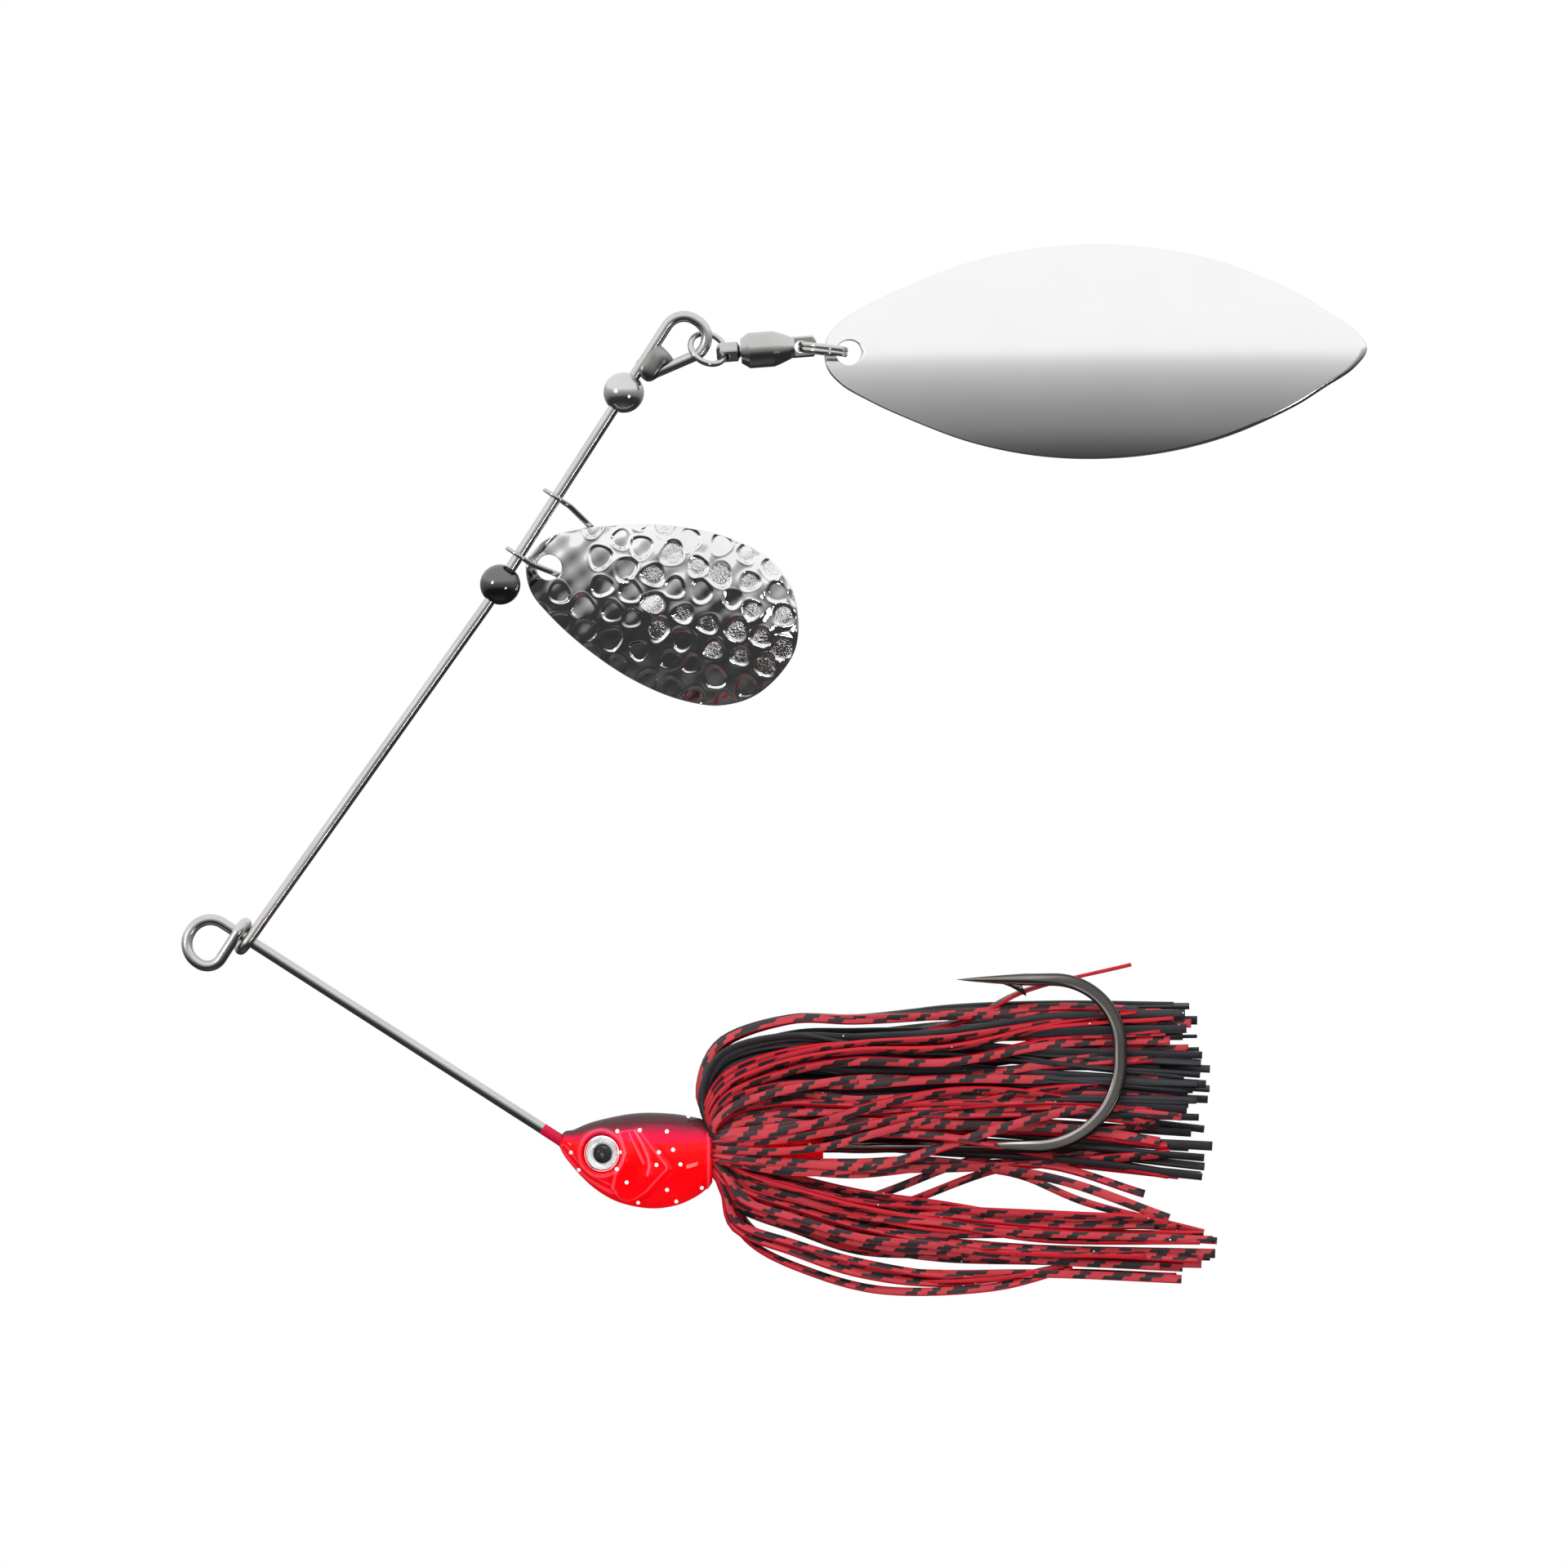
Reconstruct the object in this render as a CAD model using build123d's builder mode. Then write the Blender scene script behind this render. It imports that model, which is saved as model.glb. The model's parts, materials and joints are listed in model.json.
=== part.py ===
"""Safety-pin spinnerbait hanging from its line tie. Millimetres, +Z up, real size.

Origin: centre of the line-tie eye. The lure's flat side lies in the XZ plane (Y = 0).
"""
import os
from math import atan2, cos, degrees, radians, sin, sqrt

from build123d import *

os.makedirs("parts", exist_ok=True)

# ---- wire form ----
wire_d = 1.1
eye_r = 2.28              # line-tie eye, to the wire's centre
arm_lean = 32.69          # lower arm off the vertical
lower_arm = 44.3          # eye to the buried end of the lower arm
wrap_gap = 0.10           # between the wrap and the arm it goes round
wrap_pitch = 1.42
upper_lean = 35.4         # upper arm below the horizontal, before its bend
upper_arm = 37.65         # tie to the bend
end_lean = 32.78          # the same, past the bend
end_arm = 34.56           # bend to the far side of the end loop
loop_w = 4.2
loop_r = 2.0
tail = 5.5

# ---- beads and clevis ----
bead_d = 3.97
bead_fit = 0.05
stop_at = 2.4             # along the end arm, from the bend
top_bead_at = 24.76
clevis_at = 9.16
clevis_span = 6.8
clevis_reach = 6.6
clevis_turn = 32.0        # about the wire, away from the lure's plane
clevis_t = 0.4
clevis_w = 0.9
clevis_eyelet = 3.0
clevis_fit = 0.08

# ---- blades ----
front_len = 27.5
front_w = 16.5
front_hole_at = 2.17      # from the narrow end
front_hole_d = 2.6
front_lean = 18.3
front_cross_r = 24.0
front_long_r = 45.0
rear_len = 52.8
rear_w = 21.3
rear_hole_at = 2.12
rear_hole_d = 2.6
rear_cross_r = 28.6
rear_long_r = 200.0
rear_lean = 0.5
blade_t = 0.5
front_roll = 2  # each blade hangs turned a little about its own length
rear_roll = -9

# ---- rings and swivel ----
ring_d = 0.6
ring_r = 1.82
ring_tilt = 40.0
swivel_lean = 4.2
stud_d = 2.0
stud_len = 2.4
stud_flat = 1.2
stud_hole = 1.0
neck_d = 1.1
neck_fit = 0.08
barrel_d = 3.5
barrel_len = 3.8
barrel_wall = 0.35
cap_len = 1.08
cap_d = 2.2
rear_stud_d = 2.1
rear_stud_len = 2.56
rear_hole = 1.24
ball_d = 0.7
ball_count = 7
split_r = 2.2
split_wire = 0.48
split_lean = 7.0

# ---- head, eyes, hook, skirt ----
head_back = 49.1          # below the eye
eye_seat_r = 1.75
eye_foil_r = 1.7
pupil_r = 0.93
eye_lean = 15.0
eye_recess = 0.55
foil_t = 0.25
hook_d = 1.2
shank_x = -19.92
hook_gap = 16.36
shank_top = -39.5
bend_low = -89.1
point_z = -73.12
barb_z = -78.5
forged_t = 0.95
collar_r = 2.9
collar_len = 3.0
neck_r = 1.9
keeper_r = 1.45
keeper_x = -20.2
skirt_t = 1.5


def at_tie(up, out, y=0.0):
    """Point by the line tie: up the lower arm, and square to it."""
    a = radians(arm_lean)
    return Vector(up * sin(a) + out * cos(a), y, up * cos(a) - out * sin(a))


def arm_dir(lean):
    """Unit vector down an arm that drops by this angle."""
    return Vector(cos(radians(lean)), 0, -sin(radians(lean)))


END = arm_dir(end_lean)
BELOW = Vector(-sin(radians(end_lean)), 0, -cos(radians(end_lean)))
tie_out = at_tie(-0.74 * eye_r - wrap_pitch, eye_r + 2.6, -1.05)
bend = Vector(tie_out.X, 0, tie_out.Z) + upper_arm * arm_dir(upper_lean)


def at_end(along, below=0.0, y=0.0):
    """Point by the end arm: along it from the bend, and square to it."""
    p = bend + along * END + below * BELOW
    return Vector(p.X, y, p.Z)


# Wire form: lower arm, open eye, one and a half wraps, upper arm and end loop in one wire.
wrap = wire_d + wrap_gap
first = -0.74 * eye_r
tie_points = [
    at_tie(-lower_arm, eye_r),
    at_tie(eye_r, eye_r),
    at_tie(eye_r, -eye_r, -0.2),
    at_tie(first, -eye_r, -0.75),
    at_tie(first, eye_r + wrap, -wrap - 0.05),
    at_tie(first - 0.2 * wrap_pitch, eye_r + wrap, wrap),
    at_tie(first - 0.62 * wrap_pitch, eye_r - wrap, wrap),
    at_tie(first - 0.9 * wrap_pitch, eye_r - wrap, -wrap),
    tie_out,
    Vector(tie_out.X, 0, tie_out.Z) + 10 * arm_dir(upper_lean),
    at_end(0),
    at_end(end_arm),
    at_end(end_arm, loop_w),
    at_end(end_arm - 0.6 * loop_w, loop_w),
    at_end(end_arm - 0.6 * loop_w - 0.825 * tail, loop_w - 0.555 * tail),
]
turn_r = 0.93 * wrap
tie_radii = [0.965 * eye_r, 0.965 * eye_r, 0.72 * eye_r, turn_r, turn_r, turn_r, turn_r]
arm_radii = [3.0, 30.0, 30.0]
loop_radii = [loop_r, 0.95 * loop_r, 0.7 * loop_r]
with BuildPart() as wire_form:
    with BuildLine():
        wire_path = FilletPolyline(*tie_points, radius=tie_radii + arm_radii + loop_radii)
    with BuildSketch(Plane(origin=wire_path @ 0, z_dir=wire_path % 0)):
        Circle(wire_d / 2)
    sweep(path=wire_path)

# Solder closing the end loop's tail onto the arm.
solder_from = stop_at + bead_d / 2 + 22.6
solder_mid = 0.45 * wire_d
with BuildPart() as loop_solder:
    with BuildSketch(Plane(origin=at_end(solder_from, solder_mid), x_dir=(0, 1, 0), z_dir=END)):
        Ellipse(0.9 * wire_d, 1.3 * wire_d)
    extrude(amount=3.2 * wire_d, taper=-2)
    fillet(loop_solder.edges(), 0.55)
    add(wire_form.part, mode=Mode.SUBTRACT)

# Stop bead, fast on the wire below the clevis.
with BuildPart(Plane(origin=at_end(stop_at), z_dir=END)) as stop_bead:
    Sphere(bead_d / 2)
    Cylinder(wire_d / 2 + bead_fit, 2 * bead_d, mode=Mode.SUBTRACT)

# Top bead, free to slide between the clevis and the end loop.
with BuildPart(Plane(origin=at_end(top_bead_at), z_dir=END)) as top_bead:
    Sphere(bead_d / 2)
    Cylinder(wire_d / 2 + bead_fit, 2 * bead_d, mode=Mode.SUBTRACT)

# Clevis: two eyelets on the wire joined by a narrow bow that carries the front blade.
reach_dir = BELOW * cos(radians(clevis_turn)) + Vector(0, sin(radians(clevis_turn)), 0)
clevis_plane = Plane(origin=at_end(clevis_at), x_dir=END, z_dir=END.cross(reach_dir))
half = clevis_span / 2
bow_half = 0.76 * half
with BuildPart() as clevis:
    for sign in (-1, 1):
        with BuildSketch(Plane(origin=at_end(clevis_at + sign * half), z_dir=END)):
            Circle(clevis_eyelet / 2)
        extrude(amount=clevis_t / 2, both=True)
    with BuildLine(clevis_plane):
        bow_path = FilletPolyline(
            (-half, 0.3 * clevis_eyelet),
            (-half, 0.6 * clevis_eyelet),
            (-bow_half, clevis_reach),
            (bow_half, clevis_reach),
            (half, 0.6 * clevis_eyelet),
            (half, 0.3 * clevis_eyelet),
            radius=[1.0, 0.8 * bow_half, 0.8 * bow_half, 1.0],
        )
    with BuildSketch(Plane(origin=bow_path @ 0, x_dir=clevis_plane.z_dir, z_dir=bow_path % 0)):
        Rectangle(clevis_w, clevis_t)
    sweep(path=bow_path)
    with BuildSketch(Plane(origin=at_end(clevis_at - clevis_span), z_dir=END)):
        Circle(wire_d / 2 + clevis_fit)
    extrude(amount=2 * clevis_span, mode=Mode.SUBTRACT)


def cupped_blade(outline, apex, cross_r, long_r, hole_r):
    """Blade in its own frame: hole at the origin, length along +X, bright side to +Z."""
    rise = long_r - sqrt(long_r**2 - apex**2)
    sweep_half = 1.3 * max(apex, 10) / long_r
    centre = Vector(apex, 0, rise - long_r)
    along = Vector(cos(sweep_half), 0, sin(sweep_half))
    start = centre + long_r * Vector(-sin(sweep_half), 0, cos(sweep_half))
    with BuildPart() as blade:
        with BuildSketch(Plane(origin=start, x_dir=(0, 1, 0), z_dir=along)):
            with Locations((0, -cross_r)):
                Circle(cross_r + blade_t / 2)
                Circle(cross_r - blade_t / 2, mode=Mode.SUBTRACT)
            Rectangle(0.98 * cross_r, 0.6 * cross_r, mode=Mode.INTERSECT)
        turn = 2 * degrees(sweep_half)
        revolve(axis=Axis(centre, (0, 1, 0)), revolution_arc=turn)
        with BuildSketch():
            add(outline)
        extrude(amount=20, both=True, mode=Mode.INTERSECT)
        with BuildSketch():
            Circle(hole_r)
        extrude(amount=20, both=True, mode=Mode.SUBTRACT)
    return blade.part


# Front blade: rounded hammered blade that turns with the clevis.
front_shape = [
    (0.04, 0.31), (0.145, 0.55), (0.32, 0.80), (0.495, 0.955), (0.67, 1.0), (0.815, 0.91), (0.93, 0.62),
]
upper_side = [(u * front_len, v * front_w / 2) for u, v in front_shape]
lower_side = [(x, -y) for x, y in reversed(upper_side)]
with BuildSketch() as front_outline:
    with BuildLine():
        Spline((0, 0), *upper_side, (front_len, 0), *lower_side, periodic=True)
    make_face()
front_sketch = front_outline.sketch.moved(Location((-front_hole_at, 0, 0)))
through_at = 3.63
leg_in = half - (half - bow_half) * (through_at - 0.6 * clevis_eyelet) / (clevis_reach - 0.6 * clevis_eyelet)
below_wire = through_at * cos(radians(clevis_turn))
hole_y = through_at * sin(radians(clevis_turn))
front_hole = at_end(clevis_at - leg_in + 0.35, below_wire, hole_y)
front_dir = Vector(-sin(radians(front_lean)), 0, -cos(radians(front_lean)))
front_face = Vector(0, -1, 0).rotate(Axis((0, 0, 0), front_dir), front_roll)
front_frame = Plane(origin=front_hole, x_dir=front_dir, z_dir=front_face)
front_apex = 0.5 * front_len - front_hole_at
front_solid = cupped_blade(front_sketch, front_apex, front_cross_r, front_long_r, front_hole_d / 2)
with BuildPart() as front_blade:
    add(front_solid.moved(front_frame.location))

# Ring through the end loop.
ring_at = at_end(end_arm - 1.7, loop_w + 0.41)
lean_to = Vector(0.854, 0, -0.520)
ring_side = Vector(0.520, 0, 0.854)
ring_up = lean_to * cos(radians(ring_tilt)) + Vector(0, sin(radians(ring_tilt)), 0)
ring_frame = Plane(origin=ring_at, x_dir=ring_up, z_dir=ring_up.cross(ring_side))
with BuildPart(ring_frame) as loop_ring:
    Torus(ring_r, ring_d / 2)

# Swivel: its axis runs down from the ring's lowest point. Local +Z is down the axis.
low_a = atan2(-ring_side.Z, -ring_up.Z)
low = ring_r * (ring_up * cos(low_a) + ring_side * sin(low_a))
hole_dir = ring_side * cos(low_a) - ring_up * sin(low_a)
axis_dir = Vector(sin(radians(swivel_lean)), 0, -cos(radians(swivel_lean)))
swivel_top = ring_at + low - axis_dir * (0.45 * stud_d)
cross_dir = (hole_dir - axis_dir * hole_dir.dot(axis_dir)).normalized()
swivel_frame = Plane(origin=swivel_top, x_dir=cross_dir, z_dir=axis_dir)
barrel_from = stud_len
bore_r = barrel_d / 2 - barrel_wall
bore_from = barrel_from + 1.25
ball_at = bore_from + ball_d / 2 + 0.03
head_from = ball_at + ball_d / 2 + 0.03
seam = barrel_from + barrel_len

with BuildPart() as swivel_front:
    with BuildSketch(Plane.XZ):
        with BuildLine():
            Polyline(
                (0, 0),
                (0.6 * stud_d / 2, 0),
                (stud_d / 2, 0.35),
                (stud_d / 2, stud_len - 0.35),
                (neck_d / 2, stud_len - 0.1),
                (neck_d / 2, head_from),
                (bore_r - 0.15, head_from),
                (bore_r - 0.15, head_from + 0.4),
                (0, head_from + 0.4),
                close=True,
            )
        make_face()
    revolve(axis=Axis.Z)
    for sign in (-1, 1):
        with Locations((sign * (stud_flat / 2 + 1), 0, stud_len / 2 - 0.2)):
            Box(2, 2 * stud_d, stud_len - 0.4, mode=Mode.SUBTRACT)
    with Locations(Location((0, 0, 0.45 * stud_d), (0, 90, 0))):
        Cylinder(stud_hole / 2, 2 * stud_d, mode=Mode.SUBTRACT)

with BuildPart() as swivel_balls:
    with PolarLocations(neck_d / 2 + ball_d / 2 + 0.05, ball_count):
        with Locations((0, 0, ball_at)):
            Sphere(ball_d / 2)

with BuildPart() as swivel_barrel:
    with BuildSketch(Plane.XZ):
        with BuildLine():
            Polyline(
                (neck_d / 2 + neck_fit, barrel_from),
                (1.2, barrel_from),
                (barrel_d / 2, barrel_from + 0.8),
                (barrel_d / 2, seam - 0.6),
                (barrel_d / 2 - 0.2, seam),
                (bore_r, seam),
                (bore_r, bore_from),
                (neck_d / 2 + neck_fit, bore_from),
                close=True,
            )
        make_face()
    revolve(axis=Axis.Z)

rear_neck_r = 0.6
with BuildPart() as swivel_cap:
    with BuildSketch(Plane.XZ):
        with BuildLine():
            Polyline(
                (1.0, seam - 0.55),
                (bore_r - 0.01, seam - 0.55),
                (bore_r - 0.01, seam),
                (barrel_d / 2 - 0.2, seam),
                (cap_d / 2, seam + cap_len),
                (rear_neck_r, seam + cap_len),
                (rear_neck_r, seam + 0.3),
                (1.0, seam + 0.3),
                close=True,
            )
        make_face()
    revolve(axis=Axis.Z)

rear_from = seam + cap_len
with BuildPart() as swivel_rear:
    with BuildSketch(Plane.XZ):
        with BuildLine():
            Polyline(
                (0, seam - 0.15),
                (0.95, seam - 0.15),
                (0.95, seam + 0.3),
                (rear_neck_r, seam + 0.3),
                (rear_neck_r, rear_from),
                (rear_stud_d / 2, rear_from),
                (rear_stud_d / 2, rear_from + rear_stud_len - 0.35),
                (0.6 * rear_stud_d / 2, rear_from + rear_stud_len),
                (0, rear_from + rear_stud_len),
                close=True,
            )
        make_face()
    revolve(axis=Axis.Z)

# Split ring: two close coils through the swivel's rear stud and the rear blade.
ring_hole_at = rear_from + 0.47 * rear_stud_d
rear_hole_p = swivel_top + axis_dir * ring_hole_at
split_dir = Vector(-sin(radians(split_lean)), 0, -cos(radians(split_lean)))
split_mid = rear_hole_p + split_dir * split_r
turn_to = swivel_frame.to_local_coords(rear_hole_p + Vector(0, 1, 0))
turn_deg = degrees(atan2(turn_to.Y, turn_to.X))
with BuildPart() as swivel_rear_eye:
    add(swivel_rear.part)
    for sign in (-1, 1):
        with Locations(Location((0, 0, rear_from), (0, 0, turn_deg))):
            with Locations((sign * (stud_flat / 2 + 1), 0, rear_stud_len / 2 + 0.3)):
                Box(2, 2 * stud_d, rear_stud_len - 0.2, mode=Mode.SUBTRACT)
    with Locations(Location((0, 0, ring_hole_at), (0, 0, turn_deg)) * Location((0, 0, 0), (0, 90, 0))):
        Cylinder(rear_hole / 2, 2 * stud_d, mode=Mode.SUBTRACT)

split_frame = Plane(origin=split_mid, x_dir=split_dir, z_dir=split_dir.cross(Vector(0, 1, 0)))
with BuildPart(split_frame) as split_ring:
    with Locations((0, 0, -0.48 * split_wire), (0, 0, 0.48 * split_wire)):
        Torus(split_r, split_wire / 2)

# Rear blade: long smooth willow-leaf blade hanging from the split ring.
rear_shape = [
    (0, 0.12), (0.025, 0.28), (0.074, 0.435), (0.135, 0.586), (0.256, 0.826), (0.377, 0.961),
    (0.498, 1.0), (0.62, 0.951), (0.74, 0.807), (0.862, 0.545), (0.922, 0.361), (0.976, 0.18),
]
with BuildSketch() as rear_outline:
    with BuildLine():
        upper = Spline(*[(u * rear_len, v * rear_w / 2) for u, v in rear_shape])
        tip = ThreePointArc(upper @ 1, (rear_len, 0), (0.976 * rear_len, -0.09 * rear_w))
        lower = mirror(upper, about=Plane.XZ)
        Line((0, 0.06 * rear_w), (0, -0.06 * rear_w))
    make_face()
rear_sketch = rear_outline.sketch.moved(Location((-rear_hole_at, 0, 0)))
rear_hole_c = split_mid + split_dir * (split_r + 0.35)
rear_dir = Vector(sin(radians(rear_lean)), 0, -cos(radians(rear_lean)))
rear_face = Vector(0, -1, 0).rotate(Axis((0, 0, 0), rear_dir), rear_roll)
rear_frame = Plane(origin=rear_hole_c, x_dir=rear_dir, z_dir=rear_face)
rear_solid = cupped_blade(rear_sketch, 0.47 * rear_len, rear_cross_r, rear_long_r, rear_hole_d / 2)
with BuildPart() as rear_blade:
    add(rear_solid.moved(rear_frame.location))

# Hook: straight shank cast into the head, round bend, forged flats, barbed point.
top_x = shank_x + hook_gap
with BuildPart() as hook:
    with BuildLine():
        hook_path = FilletPolyline(
            (shank_x, 0, shank_top),
            (shank_x, 0, bend_low),
            (top_x, 0, bend_low),
            (top_x, 0, barb_z),
            radius=[0.51 * hook_gap, 0.40 * hook_gap],
        )
    with BuildSketch(Plane(origin=hook_path @ 0, z_dir=hook_path % 0)):
        Circle(hook_d / 2)
    sweep(path=hook_path)
    for sign in (-1, 1):
        with Locations((shank_x + hook_gap / 2, sign * (forged_t / 2 + 1), bend_low + 3)):
            Box(hook_gap + 4, 2, 11, mode=Mode.SUBTRACT)
    point_len = point_z - barb_z
    with Locations((top_x, 0, barb_z + point_len / 2)):
        Cone(hook_d / 2, 0.05, point_len)
    with BuildSketch(Plane.XZ):
        with BuildLine():
            Polyline(
                (top_x, barb_z + 0.6),
                (top_x - 0.35 * hook_d, barb_z + 0.6),
                (top_x - 1.3 * hook_d, barb_z - 1.3),
                (top_x - 0.35 * hook_d, barb_z - 1.0),
                (top_x, barb_z - 1.0),
                close=True,
            )
        make_face()
    extrude(amount=0.25, both=True)

# Head: cast over the wire and the hook shank, with a neck and keeper behind it.
stations = [
    (34.3, -19.55, 0.85, 0.8),
    (35.5, -20.1, 1.85, 1.6),
    (36.9, -20.55, 2.88, 2.45),
    (38.9, -21.0, 3.88, 3.12),
    (41.8, -21.24, 4.6, 3.6),
    (44.4, -21.28, 4.62, 3.7),
    (46.8, -21.05, 4.15, 3.35),
    (head_back, -20.7, 2.9, 2.5),
]
with BuildPart() as head_casting:
    for depth, mid, tall, wide in stations:
        with BuildSketch(Plane(origin=(mid, 0, -depth), x_dir=(1, 0, 0), z_dir=(0, 0, -1))):
            Ellipse(tall, wide)
    loft()
    with Locations((keeper_x, 0, -head_back - collar_len / 2)):
        Cylinder(neck_r, collar_len + 1)
    with Locations((keeper_x, 0, -head_back - collar_len - 4)):
        Cylinder(keeper_r, 8)
    with Locations((keeper_x, 0, -head_back - collar_len - 6.2)):
        Cone(keeper_r + 0.01, keeper_r + 0.2, 1.8)
    for sign in (-1, 1):
        normal = Vector(0, sign * cos(radians(eye_lean)), sin(radians(eye_lean)))
        seat = Vector(-20.54, sign * 2.96, -38.32) - normal * eye_recess
        with BuildSketch(Plane(origin=seat, x_dir=(1, 0, 0), z_dir=normal)):
            Circle(eye_seat_r)
        extrude(amount=3, mode=Mode.SUBTRACT)
    add(wire_form.part, mode=Mode.SUBTRACT)
    add(hook.part, mode=Mode.SUBTRACT)


def eye_plane(sign):
    """Floor of the eye socket on this side of the head."""
    normal = Vector(0, sign * cos(radians(eye_lean)), sin(radians(eye_lean)))
    seat = Vector(-20.54, sign * 2.96, -38.32) - normal * eye_recess
    return Plane(origin=seat, x_dir=(1, 0, 0), z_dir=normal)


# Eyes: foil ring, pupil and clear dome set in each socket.
for name, sign in (("left", -1), ("right", 1)):
    with BuildPart() as foil:
        with BuildSketch(eye_plane(sign)):
            Circle(eye_foil_r)
            Circle(pupil_r, mode=Mode.SUBTRACT)
        extrude(amount=foil_t)
    foil.part.label = f"eye_foil_{name}"
    export_step(foil.part, f"parts/eye_foil_{name}.step")
    with BuildPart() as pupil:
        with BuildSketch(eye_plane(sign)):
            Circle(pupil_r)
        extrude(amount=foil_t)
    pupil.part.label = f"eye_pupil_{name}"
    export_step(pupil.part, f"parts/eye_pupil_{name}.step")
    with BuildPart() as dome:
        with BuildSketch(eye_plane(sign).offset(foil_t)):
            Circle(eye_foil_r)
        extrude(amount=0.45)
        fillet(dome.edges().sort_by(Axis((0, 0, 0), (0, sign, 0)))[-1], 0.4)
    dome.part.label = f"eye_dome_{name}"
    export_step(dome.part, f"parts/eye_dome_{name}.step")

# Collar that grips the skirt on the neck.
with BuildPart() as skirt_collar:
    with Locations((keeper_x, 0, -head_back - collar_len / 2 - 0.1)):
        Cylinder(collar_r, collar_len - 0.2)
        Cylinder(neck_r, 2 * collar_len, mode=Mode.SUBTRACT)
    fillet(skirt_collar.edges().filter_by(GeomType.CIRCLE).sort_by(SortBy.RADIUS)[-2:], 0.6)


def hank(points, y_from, thick):
    """Soft plain block standing for a hank of strands: an outline in XZ given a thickness."""
    with BuildPart() as block:
        with BuildSketch(Plane.XZ.offset(-y_from)):
            with BuildLine():
                Polyline(*points, close=True)
            make_face()
        extrude(amount=-thick)
        fillet(block.edges().filter_by(Axis.Y), 0.5)
        with Locations((keeper_x, 0, -head_back - 1)):
            Cylinder(collar_r + 0.1, 12, mode=Mode.SUBTRACT)
    return block.part


upper_hank = [
    (-16.0, -50.6), (-10.6, -50.4), (-7.6, -54.0), (-6.6, -67.0), (-6.0, -97.5),
    (-22.2, -97.5), (-22.2, -76.0), (-20.8, -62.0), (-21.5, -53.5),
]
lower_hank = [
    (-23.6, -50.4), (-26.0, -50.6), (-30.2, -54.2), (-33.0, -60.5), (-34.0, -67.5),
    (-33.0, -99.3), (-27.2, -99.3), (-26.8, -80.0), (-25.8, -66.5), (-24.0, -55.0),
]
with BuildPart() as skirt_upper_barred:
    add(hank(upper_hank, 1.7, skirt_t))
with BuildPart() as skirt_upper_black:
    add(hank(upper_hank, 1.85 + skirt_t, skirt_t))
with BuildPart() as skirt_lower_barred:
    add(hank(lower_hank, -skirt_t, 2 * skirt_t))

# ---- placed and written ----
turned = {
    "swivel_front_eye": swivel_front.part,
    "swivel_balls": swivel_balls.part,
    "swivel_barrel": swivel_barrel.part,
    "swivel_cap": swivel_cap.part,
    "swivel_rear_eye": swivel_rear_eye.part,
}
for name, solid in turned.items():
    placed = solid.moved(swivel_frame.location)
    placed.label = name
    export_step(placed, f"parts/{name}.step")

fixed = {
    "wire_form": wire_form.part,
    "loop_solder": loop_solder.part,
    "stop_bead": stop_bead.part,
    "top_bead": top_bead.part,
    "clevis": clevis.part,
    "front_blade": front_blade.part,
    "loop_ring": loop_ring.part,
    "split_ring": split_ring.part,
    "rear_blade": rear_blade.part,
    "hook": hook.part,
    "head_casting": head_casting.part,
    "skirt_collar": skirt_collar.part,
    "skirt_upper_barred": skirt_upper_barred.part,
    "skirt_upper_black": skirt_upper_black.part,
    "skirt_lower_barred": skirt_lower_barred.part,
}
for name, solid in fixed.items():
    solid.label = name
    export_step(solid, f"parts/{name}.step")
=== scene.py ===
import json
import math
import random

import bpy
import numpy as np
from mathutils import Matrix, Vector


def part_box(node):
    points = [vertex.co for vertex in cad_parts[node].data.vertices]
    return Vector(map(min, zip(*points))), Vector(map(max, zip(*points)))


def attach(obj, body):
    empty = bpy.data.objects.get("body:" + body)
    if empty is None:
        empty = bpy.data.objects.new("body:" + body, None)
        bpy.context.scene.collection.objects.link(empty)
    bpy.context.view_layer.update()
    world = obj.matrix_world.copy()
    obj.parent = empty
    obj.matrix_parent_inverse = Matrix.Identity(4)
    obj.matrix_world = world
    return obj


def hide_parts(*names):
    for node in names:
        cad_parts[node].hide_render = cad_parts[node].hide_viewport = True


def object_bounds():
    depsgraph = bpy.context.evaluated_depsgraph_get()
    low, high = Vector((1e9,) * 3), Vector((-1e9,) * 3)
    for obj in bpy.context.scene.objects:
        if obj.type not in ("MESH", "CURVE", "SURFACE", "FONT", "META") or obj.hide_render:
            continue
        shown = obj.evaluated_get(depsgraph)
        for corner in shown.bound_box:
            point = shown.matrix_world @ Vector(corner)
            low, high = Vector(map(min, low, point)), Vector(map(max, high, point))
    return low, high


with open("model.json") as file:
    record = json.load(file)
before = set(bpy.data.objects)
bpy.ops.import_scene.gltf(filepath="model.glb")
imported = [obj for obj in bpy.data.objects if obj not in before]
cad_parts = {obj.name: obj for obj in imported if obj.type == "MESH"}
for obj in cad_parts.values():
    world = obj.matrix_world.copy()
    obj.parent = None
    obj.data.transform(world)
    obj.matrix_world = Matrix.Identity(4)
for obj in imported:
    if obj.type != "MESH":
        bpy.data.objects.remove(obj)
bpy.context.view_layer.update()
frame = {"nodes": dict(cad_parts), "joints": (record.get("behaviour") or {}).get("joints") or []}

nodes = frame["nodes"]
joints = {joint["name"]: joint for joint in frame["joints"]}

# ---- Wire form ----
# One drawn stainless spring wire: lower arm, wrapped line tie, upper arm and end loop.
# It is bent cold over pins, so it keeps fine draw lines along its length and a satin shine.
MM = 0.001
WIRE_D = 1.1
EYE_R = 2.28
ARM_LEAN = math.radians(32.69)
UPPER_LEAN = math.radians(35.4)
END_LEAN = math.radians(32.78)


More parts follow.
